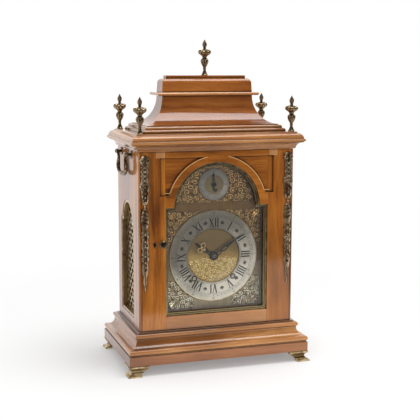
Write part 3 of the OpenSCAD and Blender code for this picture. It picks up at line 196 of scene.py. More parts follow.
class Relief(Shape):
    """Ornament that stands on an upright face, drawn in x and z, its height towards the viewer."""

    def __init__(self, face_y, sunk=0.3):
        super().__init__()
        self.face_y = face_y
        self.sunk = sunk
        self.move = lambda u, v: (u, v)

    def at(self, u, v, height):
        x, z = self.move(u, v)
        return (x, self.face_y - height, z)

    def ridge(self, path, width, height, section=(0.0, 0.62, 0.92, 1.0, 0.92, 0.62, 0.0)):
        """Raised bar along a path; width and height are functions of the share of the path."""
        rows = []
        count = len(section)
        for i, (u, v) in enumerate(path):
            u0, v0 = path[max(i - 1, 0)]
            u1, v1 = path[min(i + 1, len(path) - 1)]
            along = hypot(u1 - u0, v1 - v0) or 1
            across = ((v0 - v1) / along, (u1 - u0) / along)
            share = i / (len(path) - 1)
            half, rise = width(share) / 2, height(share)
            row = []
            for k, part in enumerate(section):
                offset = -cos(pi * k / (count - 1)) * half
                row.append(self.at(u + across[0] * offset, v + across[1] * offset, part * rise))
            row.append(self.at(u + across[0] * half, v + across[1] * half, -self.sunk))
            row.append(self.at(u - across[0] * half, v - across[1] * half, -self.sunk))
            rows.append(row)
        self.rows(rows)

    def scroll(self, centre, radius, start, turns, hand, width, height):
        """Spiral that tightens from radius at the start angle, with a bead as its eye."""
        steps = max(8, int(18 * turns))
        path = []
        for i in range(steps + 1):
            share = i / steps
            r = radius * (1 - 0.8 * share)
            angle = radians(start) + hand * TURN * turns * share
            path.append(polar(centre, r, angle))
        self.ridge(path, lambda s: width * (1 - 0.45 * s), lambda s: height * (1 - 0.2 * s))
        self.bead(centre[0], centre[1], 0.2 * radius + 0.3, height * 1.15)

    def leaf(self, root, angle, length, width, height, bend=0, lobes=3):
        """Veined leaf from its root along an angle in degrees, with a rippled edge."""
        steps = 5 * max(lobes, 1) + 2
        u, v = root
        turn = radians(angle)
        path = []
        for i in range(steps + 1):
            path.append((u, v))
            turn += radians(bend) / steps
            u += cos(turn) * length / steps
            v += sin(turn) * length / steps

        def spread(share):
            swell = sin(pi * min(1, 0.12 + 0.88 * share) ** 0.8)
            ripple = 1 - 0.28 * abs(sin(pi * lobes * share)) if lobes else 1
            return max(0.12, width * swell * ripple)

        self.ridge(path, spread, lambda s: height * (0.45 + 0.55 * sin(pi * s ** 0.7)),
                   section=(0.0, 0.66, 1.0, 0.5, 1.0, 0.66, 0.0))

    def bead(self, u, v, radius, height, sides=12):
        """Low round dome."""
        rounds = [(radius, -self.sunk)]
        for step in range(5):
            lift = radians(90 * step / 4.4)
            rounds.append((radius * cos(lift), height * sin(lift)))
        self.rows([[self.at(*polar((u, v), r, TURN * k / sides), rise) for k in range(sides)]
                   for r, rise in rounds])

    def flower(self, u, v, radius, height, petals):
        """Open flower with a beaded heart."""
        for k in range(petals):
            angle = 360 * k / petals
            self.leaf(polar((u, v), 0.18 * radius, radians(angle)), angle, 0.86 * radius,
                      2.3 * radius * sin(pi / petals) * 0.72, height * 0.8, lobes=1)
        self.bead(u, v, 0.3 * radius, height)

    def plate(self, outline, low, high):
        """Flat plate with an outline in x and z, between two heights."""
        self.rows([[self.at(u, v, height) for u, v in outline] for height in (low, high)])

    def ring(self, centre, inner, outer, low, high, sides=96, start=0.0, sweep=360.0):
        """Flat ring or arc between two radii and two heights."""
        rows = []
        for a, b in zip(*[circle(centre, radius, sides, start, sweep) for radius in (inner, outer)]):
            rows.append([self.at(*a, low), self.at(*b, low), self.at(*b, high), self.at(*a, high)])
        if sweep == 360:
            rows.append(rows[0])
        self.rows(rows, caps=sweep != 360)


def circle(centre, radius, sides, start, sweep):
    """Points on a circle or an arc, with angles in degrees from +X."""
    count = sides if sweep == 360 else sides + 1
    return [polar(centre, radius, radians(start + sweep * k / sides)) for k in range(count)]


def turned(centre, angle):
    """Moves a drawing to a centre and turns it clockwise by an angle in degrees."""
    c, s = cos(radians(angle)), sin(radians(angle))
    return lambda u, v: (centre[0] + u * c + v * s, centre[1] - u * s + v * c)


# ---- Edges ----

def edge_group():
    """Node group that joins split corners and shades smooth up to an angle."""
    group = bpy.data.node_groups.new("smooth_by_angle", "GeometryNodeTree")
    add, link = group.nodes.new, group.links.new
    for way in ("INPUT", "OUTPUT"):
        group.interface.new_socket("Geometry", in_out=way, socket_type="NodeSocketGeometry")
    start = add("NodeGroupInput")
    end = add("NodeGroupOutput")
    merge = add("GeometryNodeMergeByDistance")
    merge.inputs["Distance"].default_value = 0.002 * MM
    angle = add("GeometryNodeInputMeshEdgeAngle")
    sharp = add("FunctionNodeCompare")
    sharp.operation = "GREATER_THAN"
    sharp.inputs[1].default_value = radians(SOLID_ANGLE)
    faces = add("GeometryNodeSetShadeSmooth")
    edges = add("GeometryNodeSetShadeSmooth")
    edges.domain = "EDGE"
    edges.inputs["Shade Smooth"].default_value = False
    link(start.outputs[0], merge.inputs["Geometry"])
    link(merge.outputs[0], faces.inputs["Geometry"])
    link(faces.outputs[0], edges.inputs["Geometry"])
    link(angle.outputs["Unsigned Angle"], sharp.inputs[0])
    link(sharp.outputs["Result"], edges.inputs["Selection"])
    link(edges.outputs[0], end.inputs[0])
    return group


SMOOTH = edge_group()


def soften(piece, width):
    """Rounds a piece's sharp edges by a width in millimetres."""
    bevel = piece.modifiers.new("edges", "BEVEL")
    bevel.width = width * MM
    bevel.segments = 2
    bevel.limit_method = "ANGLE"
    bevel.angle_limit = radians(BEVEL_ANGLE)
    bevel.harden_normals = True
    bevel.use_clamp_overlap = True
    bevel.miter_outer = "MITER_ARC"


# ---- Materials ----

def shade(red, green, blue):
    """A colour given in sRGB steps of 0 to 255, as linear light."""
    def linear(step):
        part = step / 255
        return part / 12.92 if part <= 0.04045 else ((part + 0.055) / 1.055) ** 2.4
    return (linear(red), linear(green), linear(blue), 1)


def scaled(colour, factor):
    """A lighter or darker colour of the same hue."""
    return (*[part * factor for part in colour[:3]], 1)


class Nodes:
    """A tree of shader nodes. An input takes a number, a colour or another node's socket."""

    def __init__(self, tree):
        self.tree = tree

    def put(self, socket, value):
        if isinstance(value, bpy.types.NodeSocket):
            self.tree.links.new(value, socket)
        else:
            socket.default_value = value

    def node(self, kind, inputs=None, **settings):
        made = self.tree.nodes.new("ShaderNode" + kind)
        for key, value in settings.items():
            setattr(made, key, value)
        for key, value in (inputs or {}).items():
            self.put(made.inputs[key], value)
        return made

    def maths(self, operation, first, second=0.0, clamp=False):
        return self.node("Math", {0: first, 1: second}, operation=operation, use_clamp=clamp).outputs[0]

    def plus(self, first, second, clamp=False):
        return self.maths("ADD", first, second, clamp)

    def minus(self, first, second):
        return self.maths("SUBTRACT", first, second)

    def times(self, first, second):
        return self.maths("MULTIPLY", first, second)


class Surface(Nodes):
    """One material: a Principled shader and the nodes that feed it."""

    def __init__(self, name, constants):
        self.material = bpy.data.materials.new(name)
        self.material.use_nodes = True
        super().__init__(self.material.node_tree)
        self.shader = self.tree.nodes["Principled BSDF"]
        for socket, value in constants.items():
            self.shader.inputs[socket].default_value = value
        self.where = self.node("TexCoord").outputs["Object"]

    def stretched(self, scale, vector=None):
        """Coordinates scaled along each axis."""
        return self.node("Mapping", {"Vector": vector or self.where, "Scale": scale}).outputs["Vector"]

    def noise(self, scale, detail=3, roughness=0.5, distortion=0.0, vector=None):
        return self.node("TexNoise", {"Vector": vector or self.where, "Scale": scale, "Detail": detail,
                                      "Roughness": roughness, "Distortion": distortion}).outputs["Fac"]

    def ramp(self, factor, *stops):
        """Colour ramp with (position, colour) stops."""
        made = self.node("ValToRGB", {"Fac": factor})
        band = made.color_ramp
        while len(band.elements) < len(stops):
            band.elements.new(1)
        for element, (position, colour) in zip(band.elements, stops):
            element.position = position
            element.color = colour
        return made.outputs["Color"]

    def step(self, factor, low, high):
        """0 below low, 1 above high."""
        return self.node("MapRange", {"Value": factor, "From Min": low, "From Max": high},
                         interpolation_type="SMOOTHSTEP").outputs["Result"]

    def mix(self, factor, first, second, blend="MIX"):
        made = self.node("Mix", data_type="RGBA", blend_type=blend)
        for index, value in ((0, factor), (6, first), (7, second)):
            self.put(made.inputs[index], value)
        return made.outputs[2]

    def hollows(self, reach):
        """Near 0 in crevices and 1 in the open; reach in millimetres."""
        return self.node("AmbientOcclusion", {"Distance": reach * MM}, samples=6).outputs["AO"]

    def edges(self):
        """Near 1 on convex edges."""
        return self.step(self.node("NewGeometry").outputs["Pointiness"], 0.5, 0.58)

    def bump(self, height, depth, strength):
        """Surface relief; depth in millimetres."""
        return self.node("Bump", {"Height": height, "Distance": depth * MM,
                                  "Strength": strength}).outputs["Normal"]

    def feed(self, **inputs):
        names = {"colour": "Base Color", "roughness": "Roughness", "normal": "Normal", "metal": "Metallic"}
        for key, value in inputs.items():
            self.put(self.shader.inputs[names[key]], value)
        return self.material


GRAIN = {"x": (0.055, 1, 1), "y": (1, 0.055, 1), "z": (1, 1, 0.055)}


def wood(name, grain, dark, middle, light, wear_and_highlight=0.35, reach=4, shine=1.0):
    """French-polished wood with its grain along an axis, or along each side of a moulding; its edges get wear
    and a painted highlight, its hollows dirt and painted shade.
    """
    dark, middle, light = shade(*dark), shade(*middle), shade(*light)
    s = Surface(name, {"IOR": 1.5, "Specular IOR Level": 0.12, "Coat Weight": shine, "Coat Roughness": 0.09,
                       "Coat IOR": 1.6})
    sway = s.node("TexNoise", {"Vector": s.where, "Scale": 11.0, "Detail": 2.0}).outputs["Color"]
    centred = s.node("VectorMath", {0: sway, 1: (0.5, 0.5, 0.5)}, operation="SUBTRACT").outputs[0]
    swayed = s.node("VectorMath", {0: centred, "Scale": 0.012}, operation="SCALE").outputs[0]
    warped = s.node("VectorMath", {0: s.where, 1: swayed}, operation="ADD").outputs[0]
    if grain == "mitred":
        parts = s.node("SeparateXYZ", {0: s.node("NewGeometry").outputs["True Normal"]}).outputs
        on_side = s.maths("GREATER_THAN", s.maths("ABSOLUTE", parts[0]), s.maths("ABSOLUTE", parts[1]))
        vector = s.mix(on_side, s.stretched(GRAIN["x"], warped), s.stretched(GRAIN["y"], warped))
    else:
        vector = s.stretched(GRAIN[grain], warped)
    broad = s.noise(34, 3, 0.55, 0.8, vector)
    fine = s.noise(430, 5, 0.7, 0.2, vector)
    cloud = s.noise(9, 2, 0.5)
    tone = s.plus(s.times(broad, 1.15), s.times(fine, 0.45))
    tone = s.minus(s.plus(tone, s.times(cloud, 0.6)), 0.6)
    colour = s.ramp(tone, (0.3, dark), (0.5, middle), (0.72, light))
    # Lighter convex edges: wear, and a painted highlight.
    colour = s.mix(s.times(s.edges(), wear_and_highlight), colour, scaled(light, 1.2))
    pores = s.step(s.noise(1500, 2, 0.6, 0, vector), 0.62, 0.72)
    colour = s.mix(s.times(pores, 0.35), colour, scaled(dark, 0.35))
    # Darker in hollows within the reach: dirt, and painted shade in creases and under mouldings.
    grime_and_shade = s.times(s.minus(1.0, s.step(s.hollows(reach), 0.5, 1.0)), 0.96)
    colour = s.mix(grime_and_shade, colour, scaled(dark, 0.18))
    height = s.plus(s.times(fine, 0.5), s.times(pores, -0.5))
    return s.feed(colour=colour, roughness=s.plus(0.27, s.times(broad, 0.16)),
                  normal=s.bump(height, 0.05, 0.5))


# Woods: dark, middle and light, as sRGB steps
WALNUT = ((80, 37, 9), (145, 80, 22), (192, 120, 42))
BELL = ((106, 54, 16), (142, 78, 26), (174, 106, 44))
MOULDING = ((98, 54, 22), (146, 88, 40), (206, 146, 88))
# The plinth's tones are a darker copy of the walnut: painted shade low down by the bright floor.
PLINTH_SHADED = ((72, 38, 16), (124, 70, 32), (162, 102, 56))
RAIL = ((130, 78, 38), (166, 106, 56), (194, 136, 80))
walnut_upright = wood("walnut_upright", "z", *WALNUT)
walnut_level = wood("walnut_level", "x", *WALNUT)
walnut_bell = wood("walnut_bell", "x", *BELL)
walnut_cove = wood("walnut_cove", "mitred", *BELL)
walnut_mitred = wood("walnut_mitred", "mitred", *MOULDING, wear_and_highlight=0.55, reach=8)
walnut_plinth_shaded = wood("walnut_plinth_shaded", "mitred", *PLINTH_SHADED)
walnut_rail = wood("walnut_rail", "x", *RAIL)
inner_wood = wood("inner_wood", "z", (76, 48, 26), (112, 74, 42), (138, 96, 58), shine=0.15)
pale_veneer = wood("pale_veneer", "z", (142, 90, 48), (178, 122, 74), (200, 148, 98))
box_inlay = wood("box_inlay", "x", (196, 150, 92), (216, 172, 112), (228, 190, 132))


# Heights between which painted shade and reflection darken the dial's metals towards the top
DIAL_SHADE_SPAN = (HANDS_Z - 50, HANDS_Z + 35)


def metal(name, patina_and_shade, face, worn, rough, mottle, reach=1.4, grain=(1, 1, 1), upper_shade=None, tooth=0.4):
    """Metal with patina and painted shade in its hollows, and wear and a painted highlight on its edges; a
    dial colour, when given, paints shade that grows up the dial.
    """
    patina_and_shade, face, worn = shade(*patina_and_shade), shade(*face), shade(*worn)
    s = Surface(name, {"Metallic": 1.0, "IOR": 1.5})
    patch = s.noise(120, 4, 0.6)
    spots = s.noise(700, 3, 0.6, 0, s.stretched(grain))
    # Dark in the hollows: patina, and painted shade in the gaps and beside raised parts.
    open_air = s.step(s.hollows(reach), 0.45, 0.98)
    colour = s.mix(open_air, patina_and_shade, face)
    # Lighter edges in patches: wear, and a painted highlight.
    wear_and_highlight = s.times(s.edges(), s.step(patch, 0.3, 0.7))
    colour = s.mix(wear_and_highlight, colour, worn)
    tarnish = s.times(s.step(spots, 0.5, 0.75), mottle)
    colour = s.mix(tarnish, colour, patina_and_shade)
    # Painted shade and reflection: darker towards the top of the dial.
    if upper_shade:
        low, high = DIAL_SHADE_SPAN
        height = s.plus(s.node("SeparateXYZ", {0: s.where}).outputs[2], s.times(patch, 0.03))
        shaded_colour = s.mix(1.0, colour, shade(*upper_shade), "MULTIPLY")
        colour = s.mix(s.step(height, low * MM, high * MM), colour, shaded_colour)
    roughness = s.plus(rough, s.times(s.minus(patch, 0.5), 0.4), clamp=True)
    return s.feed(colour=colour, roughness=roughness, normal=s.bump(spots, 0.04, tooth))


aged_brass = metal("aged_brass", (58, 44, 30), (176, 146, 114), (244, 226, 194), 0.34, 0.35, 1.3)
finial_brass = metal("finial_brass", (32, 24, 16), (130, 109, 80), (216, 196, 160), 0.32, 0.3, 2.2)
handle_brass = metal("handle_brass", (26, 20, 14), (92, 76, 56), (216, 198, 166), 0.3, 0.4, 2.2)
fret_brass = metal("fret_brass", (60, 48, 30), (178, 154, 116), (236, 220, 186), 0.34, 0.3)
foot_brass = metal("foot_brass", (52, 38, 22), (146, 118, 78), (240, 220, 176), 0.36, 0.4)
# Gilt, rim and matted brass carry painted shade and reflection that darken them towards the top of the dial.
gilt_brass = metal("gilt_brass", (36, 24, 10), (252, 238, 202), (255, 254, 244), 0.24, 0.12, 1.8,
                   upper_shade=(212, 178, 130))
hand_brass = metal("hand_brass", (34, 24, 14), (166, 132, 86), (232, 206, 160), 0.3, 0.3, 1.4)
chased_gold = metal("chased_gold", (50, 34, 10), (222, 186, 114), (255, 242, 198), 0.28, 0.3, 0.9)
rim_brass = metal("rim_brass", (66, 54, 32), (200, 182, 140), (244, 230, 196), 0.34, 0.25,
                  upper_shade=(150, 140, 124))
bezel_brass = metal("bezel_brass", (66, 54, 32), (176, 160, 118), (232, 218, 180), 0.34, 0.25)
movement_brass = metal("movement_brass", (84, 62, 28), (190, 158, 98), (236, 212, 150), 0.3, 0.18,
                       grain=(1, 1, 0.04), tooth=0.08)
matted_brass = metal("matted_brass", (26, 19, 11), (140, 122, 94), (160, 140, 108), 0.46, 0.4, 3.2,
                     upper_shade=(186, 160, 128))
blued_steel = metal("blued_steel", (10, 10, 11), (26, 26, 28), (64, 64, 66), 0.38, 0.2)
dark_steel = metal("dark_steel", (12, 11, 10), (150, 138, 116), (222, 212, 190), 0.3, 0.2, 3)
bright_steel = metal("bright_steel", (70, 70, 72), (176, 178, 182), (220, 222, 226), 0.24, 0.15)


def silvered(name, centre_z, dark, middle, light):
    """Silvered brass, brushed round its centre, with painted shade at the upper left and a painted reflection
    of light towards the foot.
    """
    dark, middle, light = shade(*dark), shade(*middle), shade(*light)
    s = Surface(name, {"Metallic": 0.85, "IOR": 1.5})
    offset = s.node("VectorMath", {0: s.where, 1: (0, 0, -centre_z * MM)}, operation="ADD").outputs[0]
    distance = s.node("VectorMath", {0: offset}, operation="LENGTH").outputs["Value"]
    brushed = s.node("TexNoise", {"W": distance, "Scale": 2400.0, "Detail": 2.0},
                     noise_dimensions="1D").outputs["Fac"]
    # Painted shade and reflection: darker to the upper left, lighter towards the foot.
    painted_light_slope = s.node("VectorMath", {0: offset, 1: (2.8, 0, -6.2)}, operation="DOT_PRODUCT").outputs["Value"]
    cloud = s.noise(26, 4, 0.6)
    stain = s.step(s.noise(60, 4, 0.65), 0.5, 0.75)
    tone = s.plus(s.times(s.minus(cloud, 0.22), 0.9), s.times(brushed, 0.25))
    colour = s.ramp(s.plus(tone, painted_light_slope), (0.08, dark), (0.42, middle), (0.8, light))
    colour = s.mix(s.times(stain, 0.3), colour, shade(116, 102, 82))
    return s.feed(colour=colour, roughness=s.plus(0.34, s.times(cloud, 0.2)),
                  normal=s.bump(brushed, 0.02, 0.3))


silver_ring = silvered("silver_ring", HANDS_Z, (112, 104, 94), (164, 155, 143), (222, 212, 198))
silver_strike = silvered("silver_strike", STRIKE_Z, (100, 94, 88), (128, 120, 112), (172, 162, 154))


def gold_disc(name, centre_z, reach, shaded_tone, bright):
    """Lacquered brass disc, with painted shade darkening it above its middle and bright below, and darker
    round its raised scrolls.
    """
    s = Surface(name, {"Metallic": 0.9, "IOR": 1.5})
    height = s.node("SeparateXYZ", {0: s.where}).outputs[2]
    cloud = s.noise(70, 4, 0.6)
    drift = s.plus(height, s.times(s.minus(cloud, 0.5), 0.016))
    # Painted shade and reflection: the disc turns darker above its middle.
    upper = s.step(drift, (centre_z - 0.3 * reach) * MM, (centre_z + 0.35 * reach) * MM)
    grain = s.noise(900, 3, 0.6, 0, s.stretched((0.12, 1, 1)))
    colour = s.mix(upper, shade(*bright), shade(*shaded_tone))
    colour = s.mix(s.times(s.step(grain, 0.45, 0.7), 0.3), colour, shade(84, 66, 36))
    # Darker round the raised scrolls: the engraving's dark ground, and painted shade.
    engraved = s.minus(1.0, s.step(s.hollows(2), 0.55, 1.0))
    colour = s.mix(s.times(engraved, 0.85), colour, shade(44, 30, 8))
    return s.feed(colour=colour, roughness=s.plus(0.3, s.times(cloud, 0.2)),
                  normal=s.bump(grain, 0.03, 0.4))


centre_gold = gold_disc("centre_gold", HANDS_Z, RING_IN, (112, 90, 56), (182, 148, 84))
strike_gold = gold_disc("strike_gold", STRIKE_Z, STRIKE_R, (104, 88, 60), (118, 102, 70))


def wax():
    """Black wax that fills engraved figures."""
    s = Surface("black_wax", {"IOR": 1.5, "Specular IOR Level": 0.15})
    worn = s.step(s.noise(900, 3, 0.6), 0.6, 0.85)
    return s.feed(colour=s.mix(worn, shade(10, 10, 11), shade(50, 48, 46)),
                  roughness=s.plus(0.45, s.times(worn, 0.2)))


black_wax = wax()


def clear_glass():
    """Window glass that lets the lamps through."""
    s = Surface("clear_glass", {"Transmission Weight": 1.0, "IOR": 1.45})
    smear = s.step(s.noise(14, 3, 0.6, 0.4), 0.55, 0.9)
    s.feed(colour=shade(250, 252, 250), roughness=s.times(smear, 0.02))
    shadow = s.node("LightPath").outputs["Is Shadow Ray"]
    through = s.node("BsdfTransparent")
    mixed = s.node("MixShader", {0: shadow, 1: s.shader.outputs[0], 2: through.outputs[0]})
    s.put(s.tree.nodes["Material Output"].inputs["Surface"], mixed.outputs[0])
    return s.material


window_glass = clear_glass()


# ---- The model's own solids ----

FINISH = {
    walnut_upright: ["side_left", "side_right", "door_left_stile", "door_right_stile"],
    walnut_level: ["door_head"],
    walnut_bell: ["bell_block"],
    walnut_rail: ["door_bottom_rail"],
    walnut_cove: ["bell_cove"],
    walnut_plinth_shaded: ["plinth_band"],
    walnut_mitred: ["base_moulding", "cornice", "upper_moulding", "shelf_moulding"],
    inner_wood: ["back_frame", "rear_door_frame", "seat_board"],
    foot_brass: ["feet"],
    aged_brass: ["corner_mounts"],
    finial_brass: ["corner_finials", "centre_finial"],
    fret_brass: ["side_frets"],
    handle_brass: ["handle_posts", "handle_left", "handle_right", "door_escutcheon", "door_knob"],
    bezel_brass: ["door_bezel", "case_fittings", "door_hinges", "rear_door_fittings"],
    matted_brass: ["dial_plate"],
    gilt_brass: ["spandrels"],
    silver_ring: ["chapter_ring"],
    silver_strike: ["strike_dial"],
    blued_steel: ["strike_hand", "hour_hand", "minute_hand"],
    dark_steel: ["going_arbor", "strike_arbor"],
    bright_steel: ["pallets", "hammer"],
    movement_brass: ["hour_wheel", "minute_wheel", "front_plate", "back_plate", "pillars", "going_barrel",
                     "strike_barrel", "intermediate_wheel", "centre_wheel", "third_wheel", "escape_wheel",
                     "pendulum", "back_cocks", "pin_wheel", "warning_wheel", "fly", "bell"],
    window_glass: ["door_glass", "rear_door_glass"],
}
SOFT_EDGES = {"side_left": 0.8, "side_right": 0.8, "door_bottom_rail": 0.35, "door_head": 0.35,
              "door_left_stile": 0.35, "door_right_stile": 0.35, "plinth_band": 0.8, "base_moulding": 0.4,
              "cornice": 0.4, "upper_moulding": 0.3, "bell_cove": 0.4, "shelf_moulding": 0.5,
              "bell_block": 0.8, "feet": 0.5, "rear_door_frame": 0.6, "back_frame": 0.6, "seat_board": 0.6,
              "chapter_ring": 0.3, "strike_dial": 0.3}

for material, nodes in FINISH.items():
    for node in nodes:
        solid = frame["nodes"][node]
        solid.data.materials.clear()
        solid.data.materials.append(material)
        if "custom_normal" in solid.data.attributes:
            solid.data.attributes.remove(solid.data.attributes["custom_normal"])
        smooth = solid.modifiers.new("smooth", "NODES")
        smooth.node_group = SMOOTH
        if node in SOFT_EDGES:
            soften(solid, SOFT_EDGES[node])


# ---- Finials ----

# [radius, height as a share, how far the gadroons show]
FINIAL = [(5.6, 0, 0), (5.7, 0.02, 0), (4.9, 0.035, 0), (4.3, 0.06, 0), (3.2, 0.1, 0), (2.4, 0.14, 0),
          (2.2, 0.17, 0), (2.9, 0.185, 0), (2.9, 0.2, 0), (2.3, 0.215, 0), (3.3, 0.25, 0.6),
          (4.9, 0.3, 1), (6.2, 0.35, 1), (6.7, 0.395, 1), (6.5, 0.43, 1), (5.6, 0.46, 0.5),
          (4.3, 0.475, 0), (3.8, 0.49, 0), (4.1, 0.515, 0), (4.9, 0.54, 0.3), (6.8, 0.565, 0.8),
          (9.3, 0.595, 1), (10.7, 0.625, 1), (11.05, 0.65, 1), (10.5, 0.672, 1), (9, 0.69, 1),
          (6.6, 0.705, 1), (4.2, 0.72, 0.5), (2.6, 0.735, 0), (2.3, 0.755, 0), (2.9, 0.77, 0),
          (2.5, 0.785, 0), (3.2, 0.81, 0.6), (3.9, 0.845, 1), (3.8, 0.88, 1), (3.0, 0.915, 1),
          (1.9, 0.95, 0.6), (1.1, 0.975, 0), (0.9, 0.99, 0), (0.4, 1, 0)]


def finial(name, x, y, z, height, replaced):
    """Turned and chased urn with a gadrooned cup and a flame."""
    shape = Shape()
    shape.lathe([(r * 0.955, share * height, lobing) for r, share, lobing in FINIAL], (x, y, z),
                sides=72, lobes=12, depth=0.055)
    for k in range(8):
        angle = TURN * k / 8
        path = []
        for i in range(9):
            share = i / 8
            r = 4.1 + 6.4 * sin(0.5 * pi * share)
            path.append((*polar((x, y), r, angle), z + height * (0.715 - 0.055 * share ** 2)))
        shape.tube(path, lambda s: 0.9 * (1 - 0.35 * s), 6)
    shape.build(name, "case", finial_brass, "aged_brass", replaces=replaced)


finials_low, finials_high = place("corner_finials")
centre_low, centre_high = place("centre_finial")
FINIAL_BASE_R = (centre_high.x - centre_low.x) / 2
for sx in (-1, 1):
    for sy in (-1, 1):
        finial(f"finial_{'right' if sx > 0 else 'left'}_{'back' if sy > 0 else 'front'}",
               sx * (finials_high.x - FINIAL_BASE_R), sy * (finials_high.y - FINIAL_BASE_R),
               finials_low.z, finials_high.z - finials_low.z, ["corner_finials"])
finial("finial_centre", 0, 0, centre_low.z, centre_high.z - centre_low.z, ["centre_finial"])


# ---- Spandrels ----

def packed(free, low, high, cap, least, step=1.0):
    """Circles of falling size that fill a region, as (u, v, radius); free gives the room at a point."""
    spots = []
    for i in range(int((high[0] - low[0]) / step) + 1):
        for k in range(int((high[1] - low[1]) / step) + 1):
            u, v = low[0] + i * step, low[1] + k * step
            spots.append((min(cap, free(u, v)), u, v))
    chosen = []
    while True:
        spots = [spot for spot in spots if spot[0] > least]
        if not spots:
            return chosen
        room, u, v = max(spots)
        chosen.append((u, v, room))
        spots = [(min(r, hypot(a - u, b - v) - room), a, b) for r, a, b in spots]


def filigree(relief, circles, height):
    """A scroll in every circle, each growing out of its nearest larger neighbour, with leaves between."""
    for i, (u, v, r) in enumerate(circles):
        near = min(circles[:i], key=lambda c: hypot(c[0] - u, c[1] - v) - c[2], default=(0, 0, 1))
        start = degrees(atan2(near[1] - v, near[0] - u))
        hand = 1 if i % 2 else -1
        relief.scroll((u, v), 0.9 * r, start, 1.25, hand, 0.55 + 0.21 * r, height * (0.75 + 0.06 * r))
        for k in range(3 if r > 1.8 else 1):
            angle = start + hand * (60 + 105 * k)
            relief.leaf(polar((u, v), 0.8 * r, radians(angle)), angle + 30 * hand, 0.6 * r + 0.5,
                        0.3 * r + 0.4, height, bend=40 * hand, lobes=1)


# How far the corner castings reach along the plate's edges, and how far the upper ones lie below
# the shoulder of the arch
UPPER_REACH, LOWER_REACH = 62, 50
UPPER_DROP = 8.6


def corner_spandrel(relief, high, mirror):
    """One corner casting: filigree round an acanthus leaf that points to the ring."""
    edge_z = SHOULDER_Z - UPPER_DROP if high else SIGHT_LOW
    up = -1 if high else 1
    reach = UPPER_REACH if high else LOWER_REACH

    def free(u, v):
        ring = hypot(SIGHT_X - u, edge_z + up * v - HANDS_Z) - RING_R - 0.8
        along = reach - max(u, v)
        diagonal = 3.0 - abs(u - v) * 0.7
        leaf = -diagonal if u + v < 36 else 9
        return min(u - 0.7, v - 0.7, ring, along, leaf)

    relief.move = lambda u, v: (mirror * (SIGHT_X - u), edge_z + up * v)
    filigree(relief, packed(free, (0, 0), (reach, reach), 5.2, 1.35), 1.5)
    relief.leaf((2, 2), 45, 25, 10, 2.6, lobes=5)
    for turn in (-1, 1):
        relief.leaf((5, 5), 45 + 38 * turn, 11, 5.4, 2.4, bend=-50 * turn, lobes=3)
        relief.leaf((11, 11), 45 + 44 * turn, 10, 4.8, 2.3, bend=-60 * turn, lobes=3)
        relief.leaf((17, 17), 45 + 50 * turn, 6, 3.0, 1.7, bend=-60 * turn, lobes=2)


def arch_spandrel(relief, mirror):
    """Filigree between the strike dial and the arch, on one side."""
    def free(u, v):
        arch = ARCH_R - BEZEL_W - 0.9 - hypot(u, v)
        dial = hypot(u, v + ARCH_Z - STRIKE_Z) - STRIKE_R - 0.9
        return min(arch, dial, u - 0.3, v - 5)

    relief.move = lambda u, v: (mirror * u, ARCH_Z + v)
    filigree(relief, packed(free, (0, 5), (ARCH_R, ARCH_R), 5.4, 1.35), 1.5)


spandrels = Relief(DIAL_Y)
for side_sign in (-1, 1):
    corner_spandrel(spandrels, False, side_sign)
    corner_spandrel(spandrels, True, side_sign)
    arch_spandrel(spandrels, side_sign)
spandrels.build("spandrel_castings", "case", gilt_brass, "polished_brass", replaces=["spandrels"])


# ---- Chapter ring ----

# Width of each letter at a height of 1, and its strokes: [x and height at each end, width]
LETTERS = {
    "I": (0.29, [((0.145, 0), (0.145, 1), 0.17)]),
    "V": (0.68, [((0.11, 1), (0.34, 0), 0.18), ((0.57, 1), (0.34, 0), 0.09)]),
    "X": (0.72, [((0.13, 1), (0.59, 0), 0.18), ((0.59, 1), (0.13, 0), 0.09)]),
}
HOURS = ["XII", "I", "II", "III", "IIII", "V", "VI", "VII", "VIII", "IX", "X", "XI"]
NUMERAL_LOW, NUMERAL_HIGH = 48.8, 63.6
# How close the letters stand, and how heavy their strokes are
SPREAD, WEIGHT = 0.94, 0.85
# Foot and top of the wax in engraved figures and in lines, off the face
WAX_LOW, WAX_HIGH, LINE_HIGH = -0.1, 0.09, 0.08
# Radii of the minute track, and of all engraved circles
TRACK = (66.4, 69.2)
CIRCLES = (47.0, 48.1, 64.9, *TRACK)
FIGURE_R, FIGURE_SIZE = 72.5, 4.4


def stroke(relief, start, end, width, rise=WAX_HIGH):
    """Engraved stroke with square ends."""
    start, end = Vector(start), Vector(end)
    along = end - start
    side = Vector((-along.y, along.x)).normalized() * width / 2
    relief.plate([start + side, start - side, end - side, end + side], WAX_LOW, rise)


def numeral(relief, text, angle):
    """Roman numeral that stands with its foot towards the centre."""
    relief.move = turned(DIAL_CENTRE, angle)
    tall = NUMERAL_HIGH - NUMERAL_LOW
    pitch = tall * SPREAD
    wide = sum(LETTERS[letter][0] for letter in text) * pitch
    cursor = -wide / 2
    for letter in text:
        width, strokes = LETTERS[letter]
        for (x0, y0), (x1, y1), thick in strokes:
            stroke(relief, (cursor + x0 * pitch, NUMERAL_LOW + y0 * tall),
                   (cursor + x1 * pitch, NUMERAL_LOW + y1 * tall), thick * tall * WEIGHT)
        cursor += width * pitch
    for height in (NUMERAL_LOW, NUMERAL_HIGH):
        stroke(relief, (-wide / 2 + 0.2, height), (wide / 2 - 0.2, height), 0.35)


